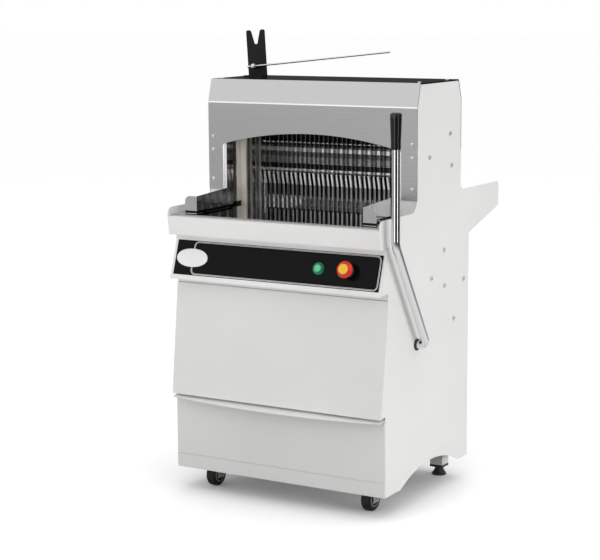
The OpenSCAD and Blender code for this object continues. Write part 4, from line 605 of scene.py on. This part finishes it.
bright_heads = np.concatenate([
    heads(front_places, (0, -1, 0), 9, 2.5, "cross"),
    heads(lid_places, (0, 0, 1), 9, 2.5, "cross"),
])
fit(skin("bright_screw_heads", bright_heads), "cabinet", "bright_steel", screw_steel, "bright_screws")
side_heads = np.concatenate([
    heads(on_side(side_bolts, panel_face), (1, 0, 0), 12, 3.5, "hexagon"),
    heads(on_side(side_bolts, -panel_face), (-1, 0, 0), 12, 3.5, "hexagon"),
])
zinc = finish("dull_zinc", (0.58, 0.58, 0.58), 0.36, 0.4)
tint(zinc, grain(zinc, 220, 3.0), (0.54, 0.54, 0.54), (0.64, 0.64, 0.635))
roughen(zinc, grain(zinc, 500), 0.32, 0.48)
fit(skin("panel_bolt_heads", side_heads), "cabinet", "white_coat", zinc, "panel_bolts")


def nuts(places, inward):
    """Six-sided nuts with a threaded end: rings of six corners, then of a round end, along the axis."""
    half_flat, thread_r, nut_h, end_h = 4.76, 2.9, 5, 6.4
    angle = np.radians(np.arange(0, 360, 10))
    flat = half_flat / np.cos((angle + np.pi / 6) % (np.pi / 3) - np.pi / 6)
    spin = np.stack([0 * angle, np.cos(angle), np.sin(angle)], -1)
    thread = 0 * flat + thread_r
    radius = np.stack([0 * flat, flat, flat, thread, thread, 0 * flat])
    depth = np.array([0, 0, nut_h, nut_h, end_h, end_h]) * inward
    local = radius[..., None] * spin + depth[:, None, None] * np.array([1.0, 0, 0])
    return row(places[:, None, None, :] + local[None])


inner_nuts = np.concatenate([
    nuts(on_side(side_bolts, panel_back), -1),
    nuts(on_side(side_bolts, -panel_back), 1),
])
fit(skin("inner_nuts", inner_nuts), "cabinet", "bright_steel", screw_steel)


# Slicing chamber: polished walls with painted shade along their foot, cream nylon guide rails in folded
# columns, and the polished tables whose slots let the blades through.
mirror_steel = finish("mirror_stainless", (0.66, 0.66, 0.665), 0.07, 1.0)
roughen(mirror_steel, grain(mirror_steel, (40, 260, 260), 5.0), 0.03, 0.09)
relief(mirror_steel, grain(mirror_steel, 7), 0.0006, 0.12)
for sheet in ("front_table", "rear_table"):
    fit(eased(sheet, 0.0004), "cabinet", "mirror_steel", mirror_steel, sheet)
wall_steel = finish("wall_steel", (0.80, 0.80, 0.81), 0.1, 1.0)
roughen(wall_steel, grain(wall_steel, (40, 260, 260), 5.0), 0.05, 0.16)
relief(wall_steel, grain(wall_steel, 7), 0.0006, 0.12)
tint(wall_steel, grain(wall_steel, (30, 8, 30), 3.0), (0.76, 0.76, 0.77), (0.84, 0.84, 0.855))
# Painted shade: a near-black strip along the walls' foot, where they meet the table.
painted_light_band(wall_steel, 0.692, 0.004, (0.02, 0.02, 0.02))
fit(eased("chamber_walls", 0.0004), "cabinet", "mirror_steel", wall_steel, "chamber_walls")
nylon = finish("cream_nylon", (0.92, 0.85, 0.75), 0.5, scatter=(0.12, (0.003, 0.002, 0.001)))
nylon_lines = grain(nylon, (260, 260, 5), 3.0)
roughen(nylon, nylon_lines, 0.42, 0.6)
tint(nylon, grain(nylon, (20, 20, 6), 3.0), (0.90, 0.83, 0.73), (0.95, 0.88, 0.78))
relief(nylon, nylon_lines, 0.00006, 0.4)
fit(eased("guide_rails", 0.0008), "cabinet", "nylon", nylon, "guide_rails")
satin_steel = finish("satin_stainless", (0.56, 0.555, 0.555), 0.32, 1.0)
satin_lines = grain(satin_steel, (5, 5, 700), 3.0)
roughen(satin_steel, satin_lines, 0.26, 0.4)
relief(satin_steel, satin_lines, 0.00003, 0.35)
tint(satin_steel, grain(satin_steel, (3, 3, 260), 3.0), (0.52, 0.515, 0.515), (0.60, 0.595, 0.595))
fit(eased("guide_columns", 0.0005), "cabinet", "satin_steel", satin_steel, "guide_columns")


# Side fences: polished folded plates with a rounded front flange and painted shade along the foot. Each
# slides on the table and is held by a wing screw in the table's slot.


def short_of_guides(points):
    """The plate's far end, behind the far line, stops 66 mm sooner, just inside the hood's mouth, and its
    top rises 9 mm there."""
    sooner, rise = 0.066, 0.009
    far_line, top_line = -0.062, 0.70
    far = points[:, 1] > far_line
    out = points.copy()
    out[:, 1] -= np.where(far, sooner, 0.0)
    out[:, 2] += np.where(far & (points[:, 2] > top_line), rise, 0.0)
    return out


fence_steel = finish("fence_steel", (0.87, 0.87, 0.88), 0.08, 1.0)
roughen(fence_steel, grain(fence_steel, (5, 5, 60), 3.0), 0.06, 0.11)
relief(fence_steel, grain(fence_steel, 7), 0.0006, 0.12)
tint(fence_steel, grain(fence_steel, (30, 8, 30), 3.0), (0.82, 0.82, 0.83), (0.92, 0.92, 0.93))
# Painted shade: a near-black strip along the plates' foot, where they meet the table.
painted_light_band(fence_steel, 0.6925, 0.003, (0.02, 0.02, 0.02))
for body, node in (("left_fence", "fence_left"), ("right_fence", "fence_right")):
    fit(eased(node, 0.0007, trim=short_of_guides), body, "mirror_steel", fence_steel, node)


# Blades and frames: ground blades with a toothed edge, stretched in two machined steel frames that slide
# in the nylon guides.


def dress(mat, *nodes):
    """Puts a finish on CAD nodes whose own shape is shown."""
    for name in nodes:
        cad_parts[name].material_slots[0].material = mat


blade_steel = finish("ground_blade_steel", (0.36, 0.36, 0.365), 0.12, 1.0)
blade_lines = grain(blade_steel, (600, 600, 4), 3.0)
roughen(blade_steel, blade_lines, 0.05, 0.16)
relief(blade_steel, blade_lines, 0.00002, 0.35)
dress(blade_steel, "front_blades", "rear_blades")
machined_steel = finish("machined_steel", (0.42, 0.42, 0.43), 0.34, 1.0)
lay_lines = grain(machined_steel, (30, 500, 500), 3.0)
roughen(machined_steel, lay_lines, 0.26, 0.44)
relief(machined_steel, lay_lines, 0.00003, 0.35)
tint(machined_steel, grain(machined_steel, 25, 4.0), (0.38, 0.38, 0.39), (0.46, 0.46, 0.47))
fit(eased("front_frame", 0.0006), "front_blade_frame", "machined_steel", machined_steel, "front_frame")
fit(eased("rear_frame", 0.0006), "rear_blade_frame", "machined_steel", machined_steel, "rear_frame")


# Pusher: satin plate stiffened by bright rolled ribs, with a painted highlight band across it, and a comb
# of bent fingers darkened by painted shade at their lower half, with a near-black sheet behind them as
# painted shade and a blued clamp strip. Its carriage runs on two round rails.
plate_steel = finish("plate_steel", (0.24, 0.238, 0.236), 0.22, 1.0)
plate_lines = grain(plate_steel, (6, 500, 500), 3.0)
roughen(plate_steel, plate_lines, 0.16, 0.3)
relief(plate_steel, plate_lines, 0.00002, 0.3)
tint(plate_steel, grain(plate_steel, (4, 60, 60), 3.0), (0.20, 0.198, 0.196), (0.27, 0.268, 0.265))
# Painted highlight: a pale band across the plate, between the clamp strip and the upper rib.
painted_light_band(plate_steel, 0.797, 0.0085, (0.62, 0.61, 0.60))
fit(eased("pusher_plate", 0.0005), "pusher", "satin_steel", plate_steel, "pusher_plate")
comb_steel = finish("comb_steel", (0.93, 0.915, 0.885), 0.28, 1.0)
comb_lines = grain(comb_steel, (420, 420, 6), 3.0)
roughen(comb_steel, comb_lines, 0.20, 0.34)
relief(comb_steel, comb_lines, 0.00002, 0.35)
tint(comb_steel, grain(comb_steel, (60, 60, 4), 3.0), (0.90, 0.885, 0.855), (0.95, 0.935, 0.905))
# Painted shade: the fingers' lower half is darkened.
painted_light_band(comb_steel, 0.7205, 0.0185, (0.30, 0.285, 0.285))
fit(eased("pusher_comb", 0.0007), "pusher", "satin_steel", comb_steel, "pusher_comb")


def rib(half, back, front, low, high, lean):
    """Rolled rib along X: a four-cornered cross-section, whose face leans back by so many degrees as it
    rises, is carried from one end to the other and closed to a point at both."""
    shift = (high - low) * np.tan(np.radians(lean))
    outline = np.array([(back, low), (front, low), (front + shift, high), (back, high)])
    share = np.array([0.0, 1.0, 1.0, 0.0])[:, None, None]
    across = np.array([-half, -half, half, half])
    grid = np.empty((4, 4, 3))
    grid[..., 0] = across[:, None]
    grid[..., 1:] = outline.mean(axis=0) + share * (outline - outline.mean(axis=0))
    return row(grid)


pusher_ribs = skin("pusher_ribs", np.stack([
    rib(227, 161, 157.8, 770.2, 774.6, lean=16), rib(262, 162, 158.8, 818.6, 828.4, lean=6),
]))
comb_clamp = skin("comb_clamp", rib(227.2, 161, 159.2, 775.2, 788.6, lean=3))
blued_and_shade_steel = finish("blued_clamp_and_shade_backing_steel", (0.035, 0.034, 0.036), 0.3, 1.0)
roughen(blued_and_shade_steel, grain(blued_and_shade_steel, (30, 500, 500), 3.0), 0.24, 0.38)
fit(comb_clamp, "pusher", "satin_steel", blued_and_shade_steel)
# Painted shade: a near-black sheet behind the fingers keeps the gaps between them dark, in the same blued
# steel as the clamp strip.
comb_back = skin("comb_back", slat((-226, 163, 705.5), (226, 164.5, 770), corner=0.5, axis=0))
fit(comb_back, "pusher", "satin_steel", blued_and_shade_steel)
fit(pusher_ribs, "pusher", "satin_steel", comb_steel)
dress(machined_steel, "pusher_carriage")
chrome = finish("chrome", (0.78, 0.78, 0.79), 0.06, 1.0)
roughen(chrome, grain(chrome, 60, 5.0), 0.03, 0.09)
dress(chrome, "pusher_rails")


# Lever: one chromed steel tube, bent out of its shaft, up along the panel and upright at the top, with a
# tapered black grip pushed over its end.
lever_foot = np.array([316.6, 1.2, 391.0])
lever_knee = np.array([316.6, -158.6, 649.0])
lever_top = 944.5


def lever_path(foot, knee, top, bend_r=20, elbow_r=40, stub_length=2.6):
    """Stub along X, a quarter bend at the foot, a straight arm, an elbow at the knee and an upright end;
    gives points, and at each one a direction square to the path that turns with it."""
    lean = np.arctan2(foot[1] - knee[1], knee[2] - foot[2])
    across, up = np.array([1.0, 0, 0]), np.array([0, 0, 1.0])
    arm = np.array([0, -np.sin(lean), np.cos(lean)])
    level = np.array([0, np.cos(lean), np.sin(lean)])
    t = np.linspace(0, np.pi / 2, 15)[:, None]
    bend = foot + bend_r * (arm * (1 - np.cos(t)) - across * (1 - np.sin(t)))
    s = np.linspace(0, lean, 13)[:, None]
    elbow = knee + elbow_r * (level * (1 - np.cos(s)) + arm * (np.sin(s) - np.tan(lean / 2)))
    stub = (foot - (bend_r + stub_length) * across)[None]
    straight = np.linspace(bend[-1], elbow[0], 10)[1:-1]
    upright = np.linspace(elbow[-1], knee * (1, 1, 0) + top * up, 10)[1:]
    points = np.concatenate([stub, bend, straight, elbow, upright])
    first = np.tile(np.cross(across, arm), (len(stub) + len(bend) + len(straight), 1))
    along = np.cos(s) * arm + np.sin(s) * level
    turning = np.cross(across, along)
    last = np.tile(np.cross(across, up), (len(upright), 1))
    return points, np.concatenate([first, turning, last])


def piped(name, points, square, radius, steps=40):
    """Round tube of that radius carried along a path, closed by a rounded cap at each end."""
    along = np.gradient(points, axis=0)
    along = along / np.linalg.norm(along, axis=1, keepdims=True)
    third = np.cross(along, square)
    angle = np.linspace(0, 2 * np.pi, steps, endpoint=False)
    ring = np.cos(angle)[None, :, None] * square[:, None] + np.sin(angle)[None, :, None] * third[:, None]
    body = points[:, None] + radius * ring
    shrink = np.array([0.0, 0.7, 0.92])[:, None, None]
    low = points[0] + radius * shrink * ring[0]
    high = points[-1] + radius * shrink[::-1] * ring[-1]
    return skin(name, row(np.concatenate([low, body, high])))


path, square = lever_path(lever_foot, lever_knee, lever_top)
fit(piped("lever_chromed_tube", path, square, 10.0), "lever", "bright_steel", chrome, "lever_tube")
grip_black = finish("grip_black", (0.007, 0.007, 0.008), 0.16)
roughen(grip_black, grain(grip_black, 80, 4.0), 0.07, 0.14)
relief(grip_black, grain(grip_black, 300), 0.00002, 0.2)
lever_hand_grip = turned(
    "lever_hand_grip",
    filleted(
        [(10.1, 866), (11.3, 866), (11.5, 884), (12.6, 912), (13.5, 936), (13.3, 946.5), (9.0, 949.5),
         (0, 949.5)],
        [1.0, 60, 60, 20, 3.2, 8],
    ),
    lever_knee * (1, 1, 0), (0, 0, 1),
)
fit(lever_hand_grip, "lever", "black_gloss", grip_black, "lever_grip")
dress(machined_steel, "lever_shaft")
black_plastic = finish("matt_black_plastic", (0.020, 0.020, 0.021), 0.5)
plastic_grain = grain(black_plastic, 800)
relief(black_plastic, plastic_grain, 0.00006, 0.4)
roughen(black_plastic, plastic_grain, 0.42, 0.58)
dress(black_plastic, "lever_bushes", "cable_gland", "leg_plugs")


# Drive inside the cabinet: steel deck, enamelled motor, belt, crank with its rods, bearing stands and
# control box; drawer runners and castor forks are bent from the same steel.
dress(machined_steel, "eccentric_shaft", "crank_pulley", "motor_pulley", "front_rods", "rear_rods")
dress(satin_steel, "drive_deck", "drawer_runners", "castor_forks")
motor_enamel = finish("grey_enamel", (0.16, 0.18, 0.21), 0.4)
enamel_grain = grain(motor_enamel, 260, 3.0)
relief(motor_enamel, enamel_grain, 0.0002, 0.4)
roughen(motor_enamel, enamel_grain, 0.32, 0.5)
dress(motor_enamel, "motor_body", "crank_bearings", "control_box")
belt_rubber = finish("belt_rubber", (0.025, 0.024, 0.023), 0.7)
belt_weave = grain(belt_rubber, 900)
relief(belt_rubber, belt_weave, 0.0001, 0.5)
roughen(belt_rubber, belt_weave, 0.6, 0.8)
dress(belt_rubber, "v_belt")


# Castor wheels: brown-black rubber tread on a dark moulded hub with a pressed bright rim on each face.
# They roll on the forks' axles.
tread = finish("wheel_rubber", (0.012, 0.0095, 0.0085), 0.5, shine=0.3)
tread_grain = grain(tread, 420, 3.0)
relief(tread, tread_grain, 0.00012, 0.5)
roughen(tread, tread_grain, 0.45, 0.65)
tint(tread, grain(tread, 60, 3.0), (0.009, 0.0075, 0.0065), (0.016, 0.013, 0.011))
hub_grey = finish("hub_grey", (0.03, 0.029, 0.028), 0.34)
roughen(hub_grey, grain(hub_grey, 200, 3.0), 0.26, 0.42)
relief(hub_grey, grain(hub_grey, 500), 0.00005, 0.4)
rim_steel = finish("rim_steel", (0.55, 0.55, 0.55), 0.25, 1.0)
roughen(rim_steel, grain(rim_steel, 300, 3.0), 0.18, 0.32)
rim_profile = filleted(
    [(17.6, 11.4), (19.9, 11.4), (19.9, 12.2), (17.6, 12.2), (17.6, 11.4)],
    [0, 0.35, 0.35],
)
tyre_profile = filleted(
    [(20.2, 0), (20.2, -11), (22, -12), (26.5, -12), (30, -8.6), (30, 8.6), (26.5, 12), (22, 12),
     (20.2, 11), (20.2, 0)],
    [0.5, 0.8, 1.5, 3, 3, 1.5, 0.8, 0.5],
)
hub_profile = filleted(
    [(4.05, -12), (9, -12), (9, -9), (15.5, -8.5), (17, -11.6), (20.1, -11.6), (20.1, 11.6), (17, 11.6),
     (15.5, 8.5), (9, 9), (9, 12), (4.05, 12), (4.05, -12)],
    [0.6, 0.5, 0.8, 0.6, 0.6, 0.6, 0.6, 0.8, 0.5, 0.6, 0],
)
for side, body, node in ((-1, "left_castor_wheel", "wheel_left"), (1, "right_castor_wheel", "wheel_right")):
    axle = (219 * side, -96, 30)
    fit(turned(node + "_tread", tyre_profile, axle, (1, 0, 0), 72), body, "wheel_tread", tread, node)
    fit(turned(node + "_hub", hub_profile, axle, (1, 0, 0), 72), body, "wheel_tread", hub_grey)
    for face in (-1, 1):
        name = node + ("_rim_out" if face == side else "_rim_in")
        fit(turned(name, rim_profile, axle, (face, 0, 0), 72), body, "bright_steel", rim_steel)


# Levelling feet: black moulded pads with a cone and a neck, each on a bright threaded stud. They are turned
# by hand until the machine stands level.
foot_profile = filleted(
    [(0, 0), (17, 0), (18, 1.2), (18, 4.6), (14.8, 7.4), (10.6, 16.5), (10, 20), (0, 20)],
    [0.8, 0.8, 1.6, 3, 6, 0.6],
)
stud_profile = filleted([(0, 20), (5, 20), (5, 70), (0, 70)], [0, 0.8])
for side, body, node in ((-1, "left_foot", "foot_left"), (1, "right_foot", "foot_right")):
    stand = (224 * side, 263, 0)
    fit(turned(node + "_pad", foot_profile, stand, (0, 0, 1)), body, "black_plastic", black_plastic, node)
    fit(turned(node + "_stud", stud_profile, stand, (0, 0, 1), 32), body, "black_plastic", screw_steel)


# Bag post and rod: forked black plate that leans to the left on the lid, and a thin bright rod that swings
# on its pin and holds open bags. A bright cap nut closes the pin at the front.
fit(eased("bag_post", 0.0005, tips=(1.1, 0.0047)), "cabinet", "black_coat", black_coat, "bag_post")
bag_pin = (-246, 149, 1031)
tilt = np.radians(5.9)
rod_axis = np.array([np.cos(tilt), 0, np.sin(tilt)])
rod_profile = filleted([(0, -22), (2.5, -22), (2.5, 388), (0, 388)], [1.4, 1.4])
rod = turned("bag_rod_bright", rod_profile, bag_pin, rod_axis, 32)
fit(rod, "bag_arm", "bright_steel", chrome, "bag_rod")
hub_ring = filleted([(3.05, -4.5), (7, -4.5), (7, 4.5), (3.05, 4.5), (3.05, -4.5)], [0.8, 0.8, 0])
fit(turned("bag_rod_hub", hub_ring, bag_pin, (0, 1, 0), 48), "bag_arm", "bright_steel", chrome)
cap_nut = filleted([(0, 0), (7.4, 0), (7.4, 4.6), (4.2, 7.2), (0, 7.6)], [0.4, 1.2, 1.6])
nut_seat = (bag_pin[0], 144.3, bag_pin[2])
pivot_nut = turned("bag_pivot_nut", cap_nut, nut_seat, (0, -1, 0), 48)
fit(pivot_nut, "cabinet", "bright_steel", screw_steel)


# Studio: pale floor that keeps the machine's shadow, a soft white surround, three large soft lamps, a
# narrow one that shines into the mouth and two strips that only shiny surfaces mirror. The camera stands
# where the photograph was taken from.


def ray_kinds(tree):
    """Outputs that are 1 for rays from the camera, and for rays off shiny or through clear surfaces."""
    path = tree.nodes.new("ShaderNodeLightPath")
    shiny = reckon(tree, "MAXIMUM", path.outputs["Is Glossy Ray"], path.outputs["Is Transmission Ray"])
    return path.outputs["Is Camera Ray"], shiny


def between(tree, share, low, high):
    """Mix node: low where the share is 0, high where it is 1."""
    node = tree.nodes.new("ShaderNodeMix")
    node.data_type = "FLOAT"
    for name, value in (("Factor", share), ("A", low), ("B", high)):
        join(tree, value, node.inputs[name])
    return node.outputs["Result"]


def dim_sector(tree, direction, measure, near, far):
    """How dim a direction is: 1 between 20 and 140 degrees round from the front to the right, 0 elsewhere,
    with soft ends, times a ramp from 0 to 1 as a measure goes from near to far."""
    split = tree.nodes.new("ShaderNodeSeparateXYZ")
    tree.links.new(direction, split.inputs["Vector"])
    to_front = reckon(tree, "MULTIPLY", split.outputs["Y"], -1.0)
    angle = reckon(tree, "ARCTAN2", split.outputs["X"], to_front)
    rise = spanned(tree, angle, radians(12), radians(26), 0, 1)
    fall = spanned(tree, angle, radians(130), radians(150), 1, 0)
    sector = reckon(tree, "MULTIPLY", rise, fall)
    return reckon(tree, "MULTIPLY", sector, spanned(tree, measure, near, far, 0, 1))


# The floor is white to the camera. What shiny and matt surfaces get from it changes with the distance.
floor = bpy.data.objects.new("floor", bpy.data.meshes.new("floor"))
half = 40
corners = [(-half, -half, 0), (half, -half, 0), (half, half, 0), (-half, half, 0)]
floor.data.from_pydata(corners, [], [(0, 1, 2, 3)])
bpy.context.collection.objects.link(floor)
floor_white = bpy.data.materials.new("floor_white")
floor_white.use_nodes = True
floor_tree = floor_white.node_tree
floor_tree.nodes.clear()
to_camera, shiny = ray_kinds(floor_tree)
ground = floor_tree.nodes.new("ShaderNodeTexCoord").outputs["Object"]
length = floor_tree.nodes.new("ShaderNodeVectorMath")
length.operation = "LENGTH"
floor_tree.links.new(ground, length.inputs[0])
distance = length.outputs["Value"]
bounced = spanned(floor_tree, distance, 0.5, 1.7, 0.26, 0.80)
mirrored = spanned(floor_tree, distance, 0.9, 1.8, 0.74, 0.41)
pale = between(floor_tree, shiny, bounced, mirrored)
dimmed = spanned(floor_tree, dim_sector(floor_tree, ground, distance, 1.0, 2.4), 0, 1, pale, 0.04)
matt = floor_tree.nodes.new("ShaderNodeBsdfDiffuse")
glow = floor_tree.nodes.new("ShaderNodeEmission")
both = floor_tree.nodes.new("ShaderNodeAddShader")
out = floor_tree.nodes.new("ShaderNodeOutputMaterial")
glow.inputs["Color"].default_value = (1, 1, 1, 1)
floor_tree.links.new(between(floor_tree, to_camera, dimmed, 1.0), matt.inputs["Color"])
floor_tree.links.new(reckon(floor_tree, "MULTIPLY", to_camera, 0.055), glow.inputs["Strength"])
floor_tree.links.new(matt.outputs[0], both.inputs[0])
floor_tree.links.new(glow.outputs[0], both.inputs[1])
floor_tree.links.new(both.outputs[0], out.inputs["Surface"])
floor.data.materials.append(floor_white)

# The surround is white to the camera and to shiny surfaces ahead, and dimmer low down and behind.
world = bpy.data.worlds.new("white_surround")
bpy.context.scene.world = world
world.use_nodes = True
sky_tree = world.node_tree
sky_tree.nodes.clear()
to_camera, shiny = ray_kinds(sky_tree)
heading = sky_tree.nodes.new("ShaderNodeTexCoord").outputs["Generated"]
split = sky_tree.nodes.new("ShaderNodeSeparateXYZ")
sky_tree.links.new(heading, split.inputs["Vector"])
height = split.outputs["Z"]
ahead = reckon(sky_tree, "MAXIMUM", spanned(sky_tree, height, 0.0, 0.32, 0.42, 0.92), shiny)
behind = spanned(sky_tree, height, 0.15, 0.5, 0.07, 1.0)
turned_back = spanned(sky_tree, split.outputs["Y"], -0.1, 0.35, 0, 1)
all_round = between(sky_tree, turned_back, ahead, behind)
kept = spanned(sky_tree, dim_sector(sky_tree, heading, height, 0.45, 0.15), 0, 1, 1.06, 0.25)
lit = reckon(sky_tree, "MULTIPLY", all_round, kept)
sky = sky_tree.nodes.new("ShaderNodeBackground")
sky_out = sky_tree.nodes.new("ShaderNodeOutputWorld")
sky.inputs["Color"].default_value = (1, 1, 1, 1)
sky_tree.links.new(between(sky_tree, to_camera, lit, 1.0), sky.inputs["Strength"])
sky_tree.links.new(sky.outputs["Background"], sky_out.inputs["Surface"])


def set_up(name, data, place, right, back):
    """Studio object at a place in metres, whose own X runs right and whose own Z runs back."""
    holder = bpy.data.objects.new(name, data)
    turn = np.column_stack([right, np.cross(back, right), back])
    holder.matrix_world = Matrix.Translation(place) @ Matrix(turn.tolist()).to_4x4()
    bpy.context.collection.objects.link(holder)
    return holder


def soft_lamp(name, place, aim, width, height, power, mirrored=False, spread=180):
    """Flat lamp at a place, turned towards a point, in metres and watts; either it lights the matt surfaces
    or, as a narrow strip, it is only mirrored by the shiny ones."""
    lamp = bpy.data.lights.new(name, "AREA")
    lamp.shape = "RECTANGLE"
    lamp.size, lamp.size_y, lamp.energy = width, height, power
    lamp.spread = radians(spread)
    back = np.asarray(place, float) - np.asarray(aim, float)
    back = back / np.linalg.norm(back)
    right = np.cross((0, 0, 1.0), back)
    holder = set_up(name, lamp, place, right / np.linalg.norm(right), back)
    holder.visible_camera = False
    holder.visible_glossy = mirrored
    holder.visible_diffuse = not mirrored


soft_lamp("lamp_right", (3.4, -0.3, 0.5), (0, 0, 0.28), 2.4, 0.9, 54)
soft_lamp("lamp_front", (-1.8, -3.2, 0.45), (0, 0, 0.2), 2.4, 0.85, 15)
soft_lamp("strip_front", (-0.1, -3.2, 0.62), (0.3, -0.29, 0.62), 0.35, 1.1, 4.4, mirrored=True)
soft_lamp("strip_right", (3.2, -1.07, 0.6), (0.3, -0.29, 0.6), 0.45, 1.1, 5, mirrored=True)
soft_lamp("lamp_mouth", (0.3, -2.9, 1.02), (-0.1, -0.05, 0.84), 0.7, 0.5, 0.22, spread=13)
soft_lamp("lamp_top", (0.3, 0.0, 3.6), (0, 0, 0), 3.0, 3.0, 22)

eye = bpy.data.cameras.new("photo_camera")
eye.lens, eye.sensor_width, eye.clip_end = 102.40, 36.0, 200.0
turn, lift, roll = np.radians([30.658, 9.524, -0.397])
back = np.array([np.sin(turn) * np.cos(lift), -np.cos(turn) * np.cos(lift), np.sin(lift)])
level = np.array([np.cos(turn), np.sin(turn), 0.0])
right = level * np.cos(roll) + np.cross(back, level) * np.sin(roll)
bpy.context.scene.camera = set_up("photo_camera", eye, (2.0524, -3.6741, 1.2112), right, back)
bpy.context.scene.view_settings.view_transform = "Standard"
